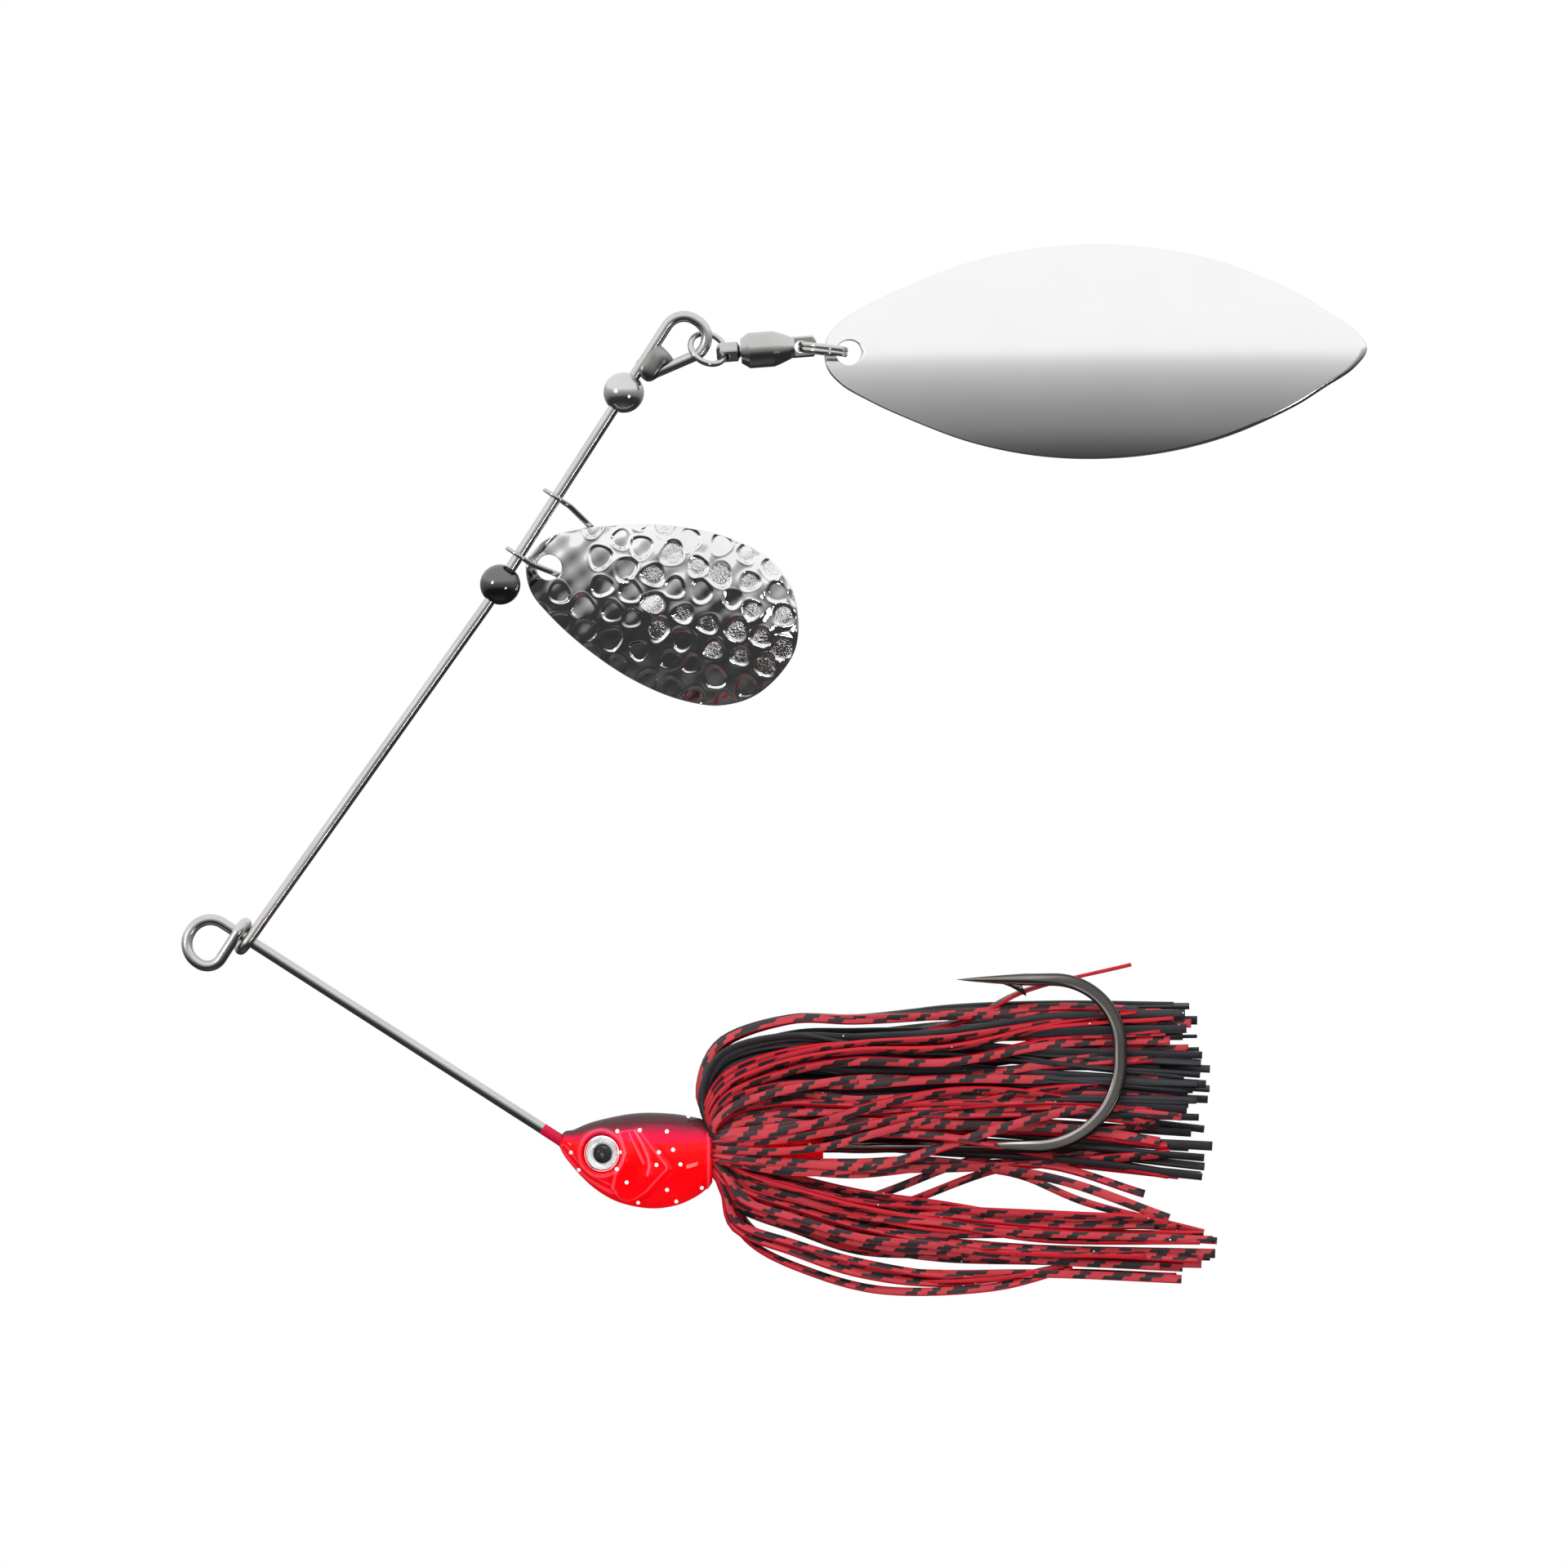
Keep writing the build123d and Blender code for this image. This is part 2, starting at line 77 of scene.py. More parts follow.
def rounded_path(corners, radii, step):
    """Points every step or so along straight runs joined by arcs, like wire bent over pins."""
    corners = [np.array(c, float) for c in corners]
    path = [corners[0]]
    for before, corner, after, radius in zip(corners, corners[1:], corners[2:], radii):
        back = (before - corner) / np.linalg.norm(before - corner)
        ahead = (after - corner) / np.linalg.norm(after - corner)
        half_angle = math.acos(float(np.clip(back @ ahead, -1, 1))) / 2
        reach = radius / math.tan(half_angle)
        middle = back + ahead
        pin = corner + middle / np.linalg.norm(middle) * radius / math.sin(half_angle)
        first = corner + back * reach - pin
        last = corner + ahead * reach - pin
        turn = math.pi - 2 * half_angle
        count = max(3, int(turn * radius / step))
        for i in range(count + 1):
            share = i / count
            spoke = math.sin((1 - share) * turn) * first + math.sin(share * turn) * last
            path.append(pin + spoke / math.sin(turn))
    path.append(corners[-1])
    filled = [path[0]]
    for a, b in zip(path, path[1:]):
        gap = np.linalg.norm(b - a)
        for i in range(1, max(1, int(gap / step)) + 1):
            filled.append(a + (b - a) * i / max(1, int(gap / step)))
    return np.array(filled)


def carried_frames(path, closed=False):
    """Tangents and two square directions at each point, twisted as little as possible."""
    if closed:
        tangents = np.roll(path, -1, 0) - np.roll(path, 1, 0)
    else:
        tangents = np.gradient(path, axis=0)
    tangents = tangents / np.linalg.norm(tangents, axis=1)[:, None]
    side = np.cross(tangents[0], [0.0, 1.0, 0.0])
    if np.linalg.norm(side) < 0.1:
        side = np.cross(tangents[0], [1.0, 0.0, 0.0])
    sides = []
    for tangent in tangents:
        side = side - tangent * (side @ tangent)
        side = side / np.linalg.norm(side)
        sides.append(side)
    sides = np.array(sides)
    return tangents, sides, np.cross(tangents, sides)


def piece_from(name, verts, faces, material, smooth=True):
    """A mesh object from points in millimetres."""
    mesh = bpy.data.meshes.new(name)
    mesh.from_pydata((np.asarray(verts) * MM).tolist(), [], faces)
    mesh.validate()
    mesh.shade_smooth() if smooth else mesh.shade_flat()
    mesh.materials.append(material)
    piece = bpy.data.objects.new(name, mesh)
    bpy.context.scene.collection.objects.link(piece)
    return piece


def swept_points(path, sections, closed=False):
    """Points and faces of a closed section carried along a path. sections is (path, around, 2)."""
    _, sides, ups = carried_frames(path, closed)
    around = sections.shape[1]
    verts = path[:, None] + sections[..., :1] * sides[:, None] + sections[..., 1:] * ups[:, None]
    count = len(path)
    faces = []
    for i in range(count if closed else count - 1):
        for j in range(around):
            k = (j + 1) % around
            n = (i + 1) % count
            faces.append((i * around + j, i * around + k, n * around + k, n * around + j))
    if not closed:
        faces.append(tuple(range(around))[::-1])
        faces.append(tuple((count - 1) * around + j for j in range(around)))
    return verts.reshape(-1, 3), faces


def round_section(count, radius, around=24):
    """The same circle, or a circle of each radius in a list, for every point of a path."""
    angle = np.linspace(0, 2 * math.pi, around, endpoint=False)
    ring = np.stack([np.cos(angle), np.sin(angle)], 1)
    return ring[None] * (np.ones(count) * radius)[:, None, None]


def fill(tree, socket, value):
    """Give an input a number or a colour, or link another node's output to it."""
    if isinstance(value, bpy.types.NodeSocket):
        tree.links.new(value, socket)
    else:
        socket.default_value = value


def add_node(tree, kind, **values):
    """A shader node with some of its settings and inputs filled in."""
    made = tree.nodes.new(kind)
    for key, value in values.items():
        if hasattr(made, key):
            setattr(made, key, value)
        else:
            fill(tree, made.inputs[key.replace("_", " ")], value)
    return made


def ramp(tree, value, *stops):
    """Colour from a value, through stops of (position, colour)."""
    made = add_node(tree, "ShaderNodeValToRGB", Fac=value)
    elements = made.color_ramp.elements
    for element, (where, colour) in zip(elements, (stops[0], stops[-1])):
        element.position, element.color = where, (*colour, 1)
    for where, colour in stops[1:-1]:
        elements.new(where).color = (*colour, 1)
    return made.outputs["Color"]


def relief(tree, shader, height, strength, distance, **more):
    """Fine relief on a shader's surface from a height."""
    bump = add_node(tree, "ShaderNodeBump", Height=height, Strength=strength, Distance=distance, **more)
    tree.links.new(bump.outputs["Normal"], shader.inputs["Normal"])


def new_finish(name, **settings):
    """A node material, its tree, its shader with these settings, and the object's coordinates."""
    material = bpy.data.materials.new(name)
    material.use_nodes = True
    tree = material.node_tree
    shader = tree.nodes["Principled BSDF"]
    for key, value in settings.items():
        shader.inputs[key.replace("_", " ")].default_value = value
    return material, tree, shader, add_node(tree, "ShaderNodeTexCoord").outputs["Object"]


def noise(tree, place, scale, detail=2.0, **more):
    """Soft noise over a place."""
    return add_node(tree, "ShaderNodeTexNoise", Vector=place, Scale=scale, Detail=detail, **more).outputs["Fac"]


def metal_finish(name, colour, rough, mark_scale, depth, drift=0.12, metallic=1.0):
    """Metal whose colour and roughness wander a little, with fine marks as relief."""
    material, tree, shader, place = new_finish(name, Metallic=metallic)
    marks = noise(tree, place, mark_scale, 6.0, Roughness=0.65)
    dark = [c * (1 - drift) for c in colour]
    tone = ramp(tree, noise(tree, place, 140.0, 3.0), (0.35, dark), (0.65, colour))
    tree.links.new(tone, shader.inputs["Base Color"])
    shine = add_node(tree, "ShaderNodeMapRange", Value=marks, To_Min=rough * 0.7, To_Max=rough * 1.3)
    tree.links.new(shine.outputs["Result"], shader.inputs["Roughness"])
    relief(tree, shader, marks, depth, 0.00002)
    return material


def by_tie(up, out, y=0.0):
    """Point near the line tie: up the lower arm, and square to it."""
    x = up * math.sin(ARM_LEAN) + out * math.cos(ARM_LEAN)
    return np.array([x, y, up * math.cos(ARM_LEAN) - out * math.sin(ARM_LEAN)])


def down_arm(lean):
    """Unit vector down an arm that drops by this angle."""
    return np.array([math.cos(lean), 0.0, -math.sin(lean)])


wrap_r = WIRE_D + 0.10
wrap_top = -0.74 * EYE_R
wrap_pitch = 1.42
leaves_tie = by_tie(wrap_top - wrap_pitch, EYE_R + 2.6, -1.05)
arm_start = leaves_tie * [1, 0, 1]
bend = arm_start + 37.65 * down_arm(UPPER_LEAN)
end_dir = down_arm(END_LEAN)
below_dir = np.array([-math.sin(END_LEAN), 0.0, -math.cos(END_LEAN)])


def by_end(along, below=0.0):
    """Point near the end arm: along it from its bend, and square to it."""
    return bend + along * end_dir + below * below_dir


LOOP_AT = 34.56
LOOP_W = 4.2
TAIL = 5.5
wire_corners = [
    by_tie(-44.3, EYE_R),
    by_tie(EYE_R, EYE_R),
    by_tie(EYE_R, -EYE_R, -0.2),
    by_tie(wrap_top, -EYE_R, -0.75),
    by_tie(wrap_top, EYE_R + wrap_r, -wrap_r - 0.05),
    by_tie(wrap_top - 0.2 * wrap_pitch, EYE_R + wrap_r, wrap_r),
    by_tie(wrap_top - 0.62 * wrap_pitch, EYE_R - wrap_r, wrap_r),
    by_tie(wrap_top - 0.9 * wrap_pitch, EYE_R - wrap_r, -wrap_r),
    leaves_tie,
    arm_start + 10 * down_arm(UPPER_LEAN),
    by_end(0),
    by_end(LOOP_AT),
    by_end(LOOP_AT, LOOP_W),
    by_end(LOOP_AT - 0.6 * LOOP_W, LOOP_W),
    by_end(LOOP_AT - 0.6 * LOOP_W - 0.825 * TAIL, LOOP_W - 0.555 * TAIL),
]
wire_radii = [2.2, 2.2, 1.64] + [0.93 * wrap_r] * 4 + [3.0, 30.0, 30.0, 2.0, 1.9, 1.4]
wire_path = rounded_path(wire_corners, wire_radii, 0.22)
steel_wire = metal_finish("drawn spring wire", (0.66, 0.66, 0.65), 0.24, 700.0, 0.02)
wire = piece_from("wire_form", *swept_points(wire_path, round_section(len(wire_path), WIRE_D / 2, 28)), steel_wire)
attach(wire, "wire_and_head")
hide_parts("wire_form")

# ---- Solder on the end loop ----
# Tin solder run between the loop's tail and the arm, so the loop can't open.
# It wets both wires and draws into a smooth saddle with rounded ends.
solder_from = 26.99
solder_len = 3.5
solder_path = np.array([by_end(solder_from + t * solder_len, 0.5 + 0.85 * t) for t in np.linspace(0, 1, 40)])
solder_steps = np.linspace(0, 1, 40)
swell = np.sqrt(np.clip(1 - (2 * solder_steps - 1) ** 4, 0.0, 1))
angle = np.linspace(0, 2 * math.pi, 40, endpoint=False)
oval = np.stack([np.cos(angle), np.sin(angle)], 1)
lumps = 1 + 0.05 * np.sin(5 * angle[None] + 7 * solder_steps[:, None]) + 0.04 * np.sin(9 * solder_steps)[:, None]
across = (0.45 + (0.72 + 0.35 * solder_steps) * swell)[:, None]
deep = (0.25 + 0.52 * swell)[:, None]
solder_sections = np.stack([oval[:, 0] * across * lumps, oval[:, 1] * deep * lumps], 2)
tin = metal_finish("tin solder", (0.36, 0.36, 0.355), 0.3, 500.0, 0.2)
solder = piece_from("loop_solder", *swept_points(solder_path, solder_sections), tin)
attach(solder, "wire_and_head")
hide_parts("loop_solder")

# ---- Beads ----
# Hollow plated metal beads, rolled from strip and polished, threaded on the upper arm.
# The lower one is dark nickel and is fast; the upper one is bright and slides.


def lathed(name, outline, origin, axis, material, around=96):
    """A turned piece: (along, radius) outline about an axis through origin, in millimetres."""
    axis = np.array(axis, float) / np.linalg.norm(axis)
    side = np.cross(axis, [0.0, 1.0, 0.0])
    side = side / np.linalg.norm(side)
    up = np.cross(axis, side)
    angles = np.linspace(0, 2 * math.pi, around, endpoint=False)
    spokes = np.cos(angles)[:, None] * side + np.sin(angles)[:, None] * up
    verts = [origin + along * axis + radius * spokes for along, radius in outline]
    verts = np.concatenate(verts)
    faces = []
    rings = len(outline)
    for i in range(rings):
        n = (i + 1) % rings
        for j in range(around):
            k = (j + 1) % around
            faces.append((i * around + j, n * around + j, n * around + k, i * around + k))
    return piece_from(name, verts, faces, material)


def middle(node):
    """The middle of a CAD node's box, in millimetres."""
    low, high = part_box(node)
    return (np.array(low) + np.array(high)) / 2 / MM


BEAD_R = 3.97 / 2
BORE_R = 0.6
bore_angle = math.asin(BORE_R / BEAD_R)
bead_outline = [
    (-BEAD_R * math.cos(t), BEAD_R * math.sin(t)) for t in np.linspace(bore_angle * 1.12,
    math.pi - bore_angle * 1.12, 64)
]
lip = BEAD_R * math.cos(bore_angle)
bead_outline += [(lip - 0.06, BORE_R + 0.01), (lip - 0.2, BORE_R), (0.2 - lip, BORE_R),
    (0.06 - lip, BORE_R + 0.01)]
dark_nickel = metal_finish("dark nickel bead", (0.20, 0.195, 0.19), 0.14, 1500.0, 0.05)
bright_bead = metal_finish("bright nickel bead", (0.72, 0.72, 0.72), 0.16, 1500.0, 0.05)
for node, body, finish, finish_slot in (
    ("stop_bead", "wire_and_head", dark_nickel, "stop_bead_metal"),
    ("top_bead", "top_bead", bright_bead, "top_bead_metal"),
):
    bead = lathed(node, bead_outline, middle(node), end_dir, finish)
    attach(bead, body)
    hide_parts(node)

# ---- Clevis ----
# Stamped from thin plate and folded: two eyelets on the wire and a narrow bow between them.
# Its edges are tumbled round and the whole is polished bright before plating.
polished_plate = metal_finish("polished clevis plate", (0.60, 0.60, 0.60), 0.12, 1200.0, 0.05)
CLEVIS_AT = 9.16
CLEVIS_HALF = 3.4
CLEVIS_REACH = 6.6
CLEVIS_TURN = math.radians(32)
EYELET_R = 1.5
bow_half = 0.76 * CLEVIS_HALF
clevis_mid = by_end(CLEVIS_AT)
reach_dir = math.cos(CLEVIS_TURN) * below_dir + np.array([0.0, math.sin(CLEVIS_TURN), 0.0])
bow_corners = [
    (-CLEVIS_HALF, 0.6 * EYELET_R), (-CLEVIS_HALF, 1.2 * EYELET_R), (-bow_half, CLEVIS_REACH),
    (bow_half, CLEVIS_REACH), (CLEVIS_HALF, 1.2 * EYELET_R), (CLEVIS_HALF, 0.6 * EYELET_R),
]
bow_path = rounded_path(
    [clevis_mid + along * end_dir + out * reach_dir for along, out in bow_corners],
    [1.0, 0.8 * bow_half, 0.8 * bow_half, 1.0], 0.12,
)
strip = np.array([
    (math.copysign(abs(math.cos(t)) ** 0.5, math.cos(t)) * 0.27,
    math.copysign(abs(math.sin(t)) ** 0.5, math.sin(t)) * 0.46)
    for t in np.linspace(0, 2 * math.pi, 28, endpoint=False)
])
first_side = carried_frames(bow_path)[1][0]
if abs(first_side @ np.cross(end_dir, reach_dir)) > 0.7:
    strip = strip[:, ::-1]
clevis = piece_from("clevis", *swept_points(bow_path, np.repeat(strip[None], len(bow_path), 0)), polished_plate)
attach(clevis, "clevis")
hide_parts("clevis")
eyelet_outline = [
    (-0.2, 0.72), (-0.2, 1.4), (-0.14, 1.47), (0.0, 1.5), (0.14, 1.47), (0.2, 1.4), (0.2, 0.72),
    (0.12, 0.65), (-0.12, 0.65),
]
for name, sign in (("near", -1), ("far", 1)):
    eyelet = lathed(f"clevis_eyelet_{name}", eyelet_outline, clevis_mid + sign * CLEVIS_HALF * end_dir,
        end_dir, polished_plate)
    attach(eyelet, "clevis")

# ---- Blades ----
# Both are blanked from brass sheet, cupped in a press and nickel plated.
# The front one is hammered all over with a round-faced punch; the rear one is left smooth.


def smooth_through(points, count):
    """Closed, evenly spaced curve through the given points."""
    points = np.array(points, float)
    ahead, behind = np.roll(points, -1, 0), np.roll(points, 1, 0)
    beyond = np.roll(points, -2, 0)
    curve = []
    for p0, p1, p2, p3 in zip(behind, points, ahead, beyond):
        spans = [math.sqrt(np.linalg.norm(b - a)) for a, b in ((p0, p1), (p1, p2), (p2, p3))]
        t0, t1 = 0.0, spans[0]
        t2 = t1 + spans[1]
        t3 = t2 + spans[2]
        for t in np.linspace(t1, t2, 40, endpoint=False):
            a1 = (t1 - t) / (t1 - t0) * p0 + (t - t0) / (t1 - t0) * p1
            a2 = (t2 - t) / (t2 - t1) * p1 + (t - t1) / (t2 - t1) * p2
            a3 = (t3 - t) / (t3 - t2) * p2 + (t - t2) / (t3 - t2) * p3
            b1 = (t2 - t) / (t2 - t0) * a1 + (t - t0) / (t2 - t0) * a2
            b2 = (t3 - t) / (t3 - t1) * a2 + (t - t1) / (t3 - t1) * a3
            curve.append((t2 - t) / (t2 - t1) * b1 + (t - t1) / (t2 - t1) * b2)
    curve = np.array(curve + [curve[0]])
    lengths = np.concatenate([[0], np.cumsum(np.linalg.norm(np.diff(curve, axis=0), axis=1))])
    even = np.linspace(0, lengths[-1], count, endpoint=False)
    return np.stack([np.interp(even, lengths, curve[:, i]) for i in range(2)], 1)


def blade_piece(name, outline, hole_r, height, thick, rings, place, material):
    """A thin cupped blade round its hole: rings of points run from the hole out to the rim."""
    around = len(outline)
    direction = outline / np.linalg.norm(outline, axis=1)[:, None]
    share = np.linspace(0, 1, rings)[:, None, None]
    flat = direction[None] * hole_r * (1 - share) + outline[None] * share
    top = height(flat[..., 0], flat[..., 1])
    front = np.concatenate([flat, (top + thick / 2)[..., None]], 2)
    back = np.concatenate([flat, (top - thick / 2)[..., None]], 2)
    hole_edge = (front[0] + back[0]) / 2 - np.concatenate([direction, np.zeros((around, 1))], 1) * 0.06
    rim_edge = (front[-1] + back[-1]) / 2 + np.concatenate([direction, np.zeros((around, 1))], 1) * 0.12
    layers = [front[i] for i in range(rings)] + [rim_edge] + [back[i] for i in range(rings)][::-1] + [hole_edge]
    verts = np.concatenate(layers)
    faces = []
    total = len(layers)
    for i in range(total):
        n = (i + 1) % total
        for j in range(around):
            k = (j + 1) % around
            faces.append((i * around + j, n * around + j, n * around + k, i * around + k))
    origin, along, normal = place
    across = np.cross(normal, along)
    world = origin + verts[:, :1] * along + verts[:, 1:2] * across + verts[:, 2:] * normal
    return piece_from(name, world, faces, material)


def cup(x, y, apex, cross_r, long_r):
    """Height of the pressed cup, zero at the hole."""
    rise = long_r - math.sqrt(long_r**2 - apex**2)
    radial = long_r - cross_r + np.sqrt(np.clip(cross_r**2 - y**2, 0, None))
    return np.sqrt(np.clip(radial**2 - (x - apex) ** 2, 0, None)) - long_r + rise


FRONT_LEN = 27.5
FRONT_W = 16.5
FRONT_HOLE_AT = 2.17
front_shape = [
    (0.04, 0.31), (0.145, 0.55), (0.32, 0.80), (0.495, 0.955), (0.67, 1.0), (0.815, 0.91), (0.93, 0.62),
]
front_side = [(u * FRONT_LEN, v * FRONT_W / 2) for u, v in front_shape]
front_ring = [(0, 0)] + front_side + [(FRONT_LEN, 0)] + [(x, -y) for x, y in reversed(front_side)]
front_outline = smooth_through(front_ring, 640) - [FRONT_HOLE_AT, 0]

# punch marks in rough rows, close but seldom touching
punch = random.Random(11)
marks = []
MARK_GAP = 2.72
for row in range(-4, 5):
    for step in range(12):
        x = -2.6 + (step + 0.5 * (row % 2)) * MARK_GAP + punch.uniform(-0.42, 0.42)
        y = row * MARK_GAP * 0.88 + punch.uniform(-0.38, 0.38)
        r = punch.uniform(1.0, 1.28)
        if math.hypot(x, y) > 1.5 + r:
            tip_x, tip_y = punch.gauss(0, 0.5), punch.gauss(0, 0.5)
            marks.append((x, y, r, punch.uniform(0.85, 1.2), punch.uniform(0, math.pi),
                punch.uniform(0.8, 1.2), tip_x, tip_y))


def hammered(x, y):
    """Cupped blade with flat-bottomed punch marks, each a little out of round."""
    z = cup(x, y, 0.5 * FRONT_LEN - FRONT_HOLE_AT, 24.0, 45.0)
    dents = np.zeros_like(z)
    for a, b, r, stretch, turn, depth, tip_x, tip_y in marks:
        u = (x - a) * math.cos(turn) + (y - b) * math.sin(turn)
        v = (y - b) * math.cos(turn) - (x - a) * math.sin(turn)
        away = np.sqrt((u / stretch**0.5) ** 2 + (v * stretch**0.5) ** 2)
        away = away * (1 + 0.07 * np.sin(3 * np.arctan2(v, u) + 5 * turn))
        wall = np.clip((r - away) / 0.3, 0, 1)
        dents += (depth + tip_x * u + tip_y * v) * wall * wall * (3 - 2 * wall)
        dents -= 0.2 * depth * np.exp(-(((away - r - 0.06) / 0.13) ** 2))
    waves = 0.035 * np.sin(1.7 * x + 0.8 * y) * np.sin(1.5 * y + 0.5) + 0.02 * np.sin(2.9 * x - 1.9 * y + 1.0)
    return z - 0.10 * dents + waves


front_hole = np.array(joints["front_blade_swing"]["pos_m"]) / MM
FRONT_LEAN = math.radians(18.3)
FRONT_ROLL = math.radians(2)
front_along = np.array([-math.sin(FRONT_LEAN), 0.0, -math.cos(FRONT_LEAN)])


def rolled(along, angle):
    """Face direction of a blade that hangs along this line, turned about its own length."""
    square = np.array([0.0, -1.0, 0.0])
    return math.cos(angle) * square + math.sin(angle) * np.cross(along, square)


front_normal = rolled(front_along, FRONT_ROLL)
hammered_nickel = metal_finish("hammered nickel plate", (0.93, 0.93, 0.93), 0.06, 1500.0, 0.1)
plate_tree = hammered_nickel.node_tree


def maths(tree, operation, *terms):
    """The result of a math node on numbers and outputs."""
    made = add_node(tree, "ShaderNodeMath", operation=operation)
    for socket, term in zip(made.inputs, terms):
        fill(tree, socket, term)
    return made.outputs["Value"]


def painted(tree, name):
    """The value of a mark kept on the mesh."""
    return add_node(tree, "ShaderNodeAttribute", attribute_name=name).outputs["Fac"]


crinkle = noise(plate_tree, add_node(plate_tree, "ShaderNodeTexCoord").outputs["Object"], 4200.0, 4.0)
belly = add_node(plate_tree, "ShaderNodeVectorMath", operation="MULTIPLY_ADD")
plate_face = add_node(plate_tree, "ShaderNodeNewGeometry").outputs["Normal"]
for socket, value in zip(belly.inputs, (plate_face, (1.6, 1, 1), (-0.14, 0, 0))):
    fill(plate_tree, socket, value)
leaned = add_node(plate_tree, "ShaderNodeVectorMath", operation="NORMALIZE", Vector=belly.outputs["Vector"])
crinkle_depth = maths(plate_tree, "MULTIPLY", crinkle, painted(plate_tree, "peened"))
plate_shader = plate_tree.nodes["Principled BSDF"]
relief(plate_tree, plate_shader, crinkle_depth, 0.8, 0.00012, Normal=leaned.outputs["Vector"])


def keep_mark(piece, name, values):
    """Keep one value for each point of a piece's mesh, for its material to read."""
    mark = piece.data.attributes.new(name, "FLOAT", "POINT")
    mark.data.foreach_set("value", np.ravel(values).astype(np.float32))


front_blade = blade_piece(
    "front_blade", front_outline, 1.3, hammered, 0.5, 190,
    (front_hole, front_along, front_normal), hammered_nickel,
)
spots = np.array([v.co[:] for v in front_blade.data.vertices]) / MM - front_hole
spot_x, spot_y = spots @ front_along, spots @ np.cross(front_normal, front_along)
rough_floor = np.zeros(len(spots))
for a, b, r, *_ in marks:
    if punch.random() < (0.62 if a > 9 and b > -3.5 else 0.18):
        rough_floor = np.maximum(rough_floor, np.clip((r - 0.22 - np.hypot(spot_x - a, spot_y - b)) / 0.12, 0, 1))
keep_mark(front_blade, "peened", rough_floor)
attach(front_blade, "front_blade")
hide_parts("front_blade")

REAR_LEN = 52.8
REAR_W = 21.3
REAR_HOLE_AT = 2.12
rear_shape = [
    (0.025, 0.28), (0.074, 0.435), (0.135, 0.586), (0.256, 0.826), (0.377, 0.961),
    (0.498, 1.0), (0.62, 0.951), (0.74, 0.807), (0.862, 0.545), (0.922, 0.361), (0.976, 0.18),
]
rear_side = [(u * REAR_LEN, v * REAR_W / 2) for u, v in rear_shape]
rear_ring = [(0.02, 1.25), *rear_side, (REAR_LEN, 0)]
rear_ring += [(x, -y) for x, y in reversed(rear_side)] + [(0.02, -1.25)]
rear_outline = smooth_through(rear_ring, 560) - [REAR_HOLE_AT, 0]


def smooth_cup(x, y):
    """The willow blade's long shallow cup."""
    return cup(x, y, 0.47 * REAR_LEN, 28.6, 200.0)


ring_foot = np.array(joints["rear_blade_swing"]["pos_m"]) / MM
split_down = np.array([-math.sin(math.radians(7)), 0.0, -math.cos(math.radians(7))])
rear_hole = ring_foot + 0.35 * split_down
rear_along = np.array([math.sin(math.radians(0.5)), 0.0, -math.cos(math.radians(0.5))])
smooth_nickel = metal_finish("smooth nickel plate", (0.90, 0.90, 0.90), 0.12, 900.0, 0.02, 0.02)
rear_blade = blade_piece(
    "rear_blade", rear_outline, 1.3, smooth_cup, 0.5, 90,
    (rear_hole, rear_along, rolled(rear_along, math.radians(-9))), smooth_nickel,
)
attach(rear_blade, "rear_blade")
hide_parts("rear_blade")

# ---- Rings ----
# A plain ring of bright wire, closed through the end loop, and a split ring of flat coils.
# The split ring is a spring-steel spiral of two turns, pressed together.
bright_wire = metal_finish("bright ring wire", (0.66, 0.66, 0.65), 0.15, 1500.0, 0.05)
ring_axis = np.array([0.549, -0.766, -0.334])
ring_side = np.cross(ring_axis, [0.0, 1.0, 0.0])
ring_side = ring_side / np.linalg.norm(ring_side)
ring_up = np.cross(ring_axis, ring_side)
turns = np.linspace(0, 2 * math.pi, 120, endpoint=False)
ring_path = middle("loop_ring") + 1.82 * (np.cos(turns)[:, None] * ring_side + np.sin(turns)[:, None] * ring_up)
loop_ring = piece_from(
    "loop_ring", *swept_points(ring_path, round_section(len(ring_path), 0.3, 24), closed=True), bright_wire
)
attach(loop_ring, "loop_ring")
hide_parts("loop_ring")

COIL_R = 2.2
coil_turns = np.linspace(0.15, 4 * math.pi - 0.15, 260)
split_across = np.cross(split_down, [0.0, 1.0, 0.0])
slip = 0.24 * np.tanh((coil_turns - 2 * math.pi) * 1.6)
coil_path = (
    middle("split_ring")
    + COIL_R * np.cos(coil_turns + 0.9)[:, None] * split_down
    + COIL_R * np.sin(coil_turns + 0.9)[:, None] * np.array([0.0, 1.0, 0.0])
    + slip[:, None] * split_across
)
square = np.array([(0.17, 0.24), (0.24, 0.17), (0.24, -0.17), (0.17, -0.24), (-0.17, -0.24), (-0.24, -0.17),
    (-0.24, 0.17), (-0.17, 0.24)])
coil_section = np.repeat(square[None], len(coil_path), 0)
split_ring = piece_from("split_ring", *swept_points(coil_path, coil_section), bright_wire)
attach(split_ring, "split_ring")
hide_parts("split_ring")

# ---- Swivel ----
# Turned nickel-plated brass: a stud in front that runs on balls, a barrel, a pressed cap
# and the rear stud that is riveted into the cap.
turned_nickel = metal_finish("turned nickel", (0.60, 0.60, 0.59), 0.2, 1500.0, 0.05)
for node in ("swivel_front_eye", "swivel_balls", "swivel_barrel", "swivel_cap", "swivel_rear_eye"):
    nodes[node].data.materials.clear()
    nodes[node].data.materials.append(turned_nickel)

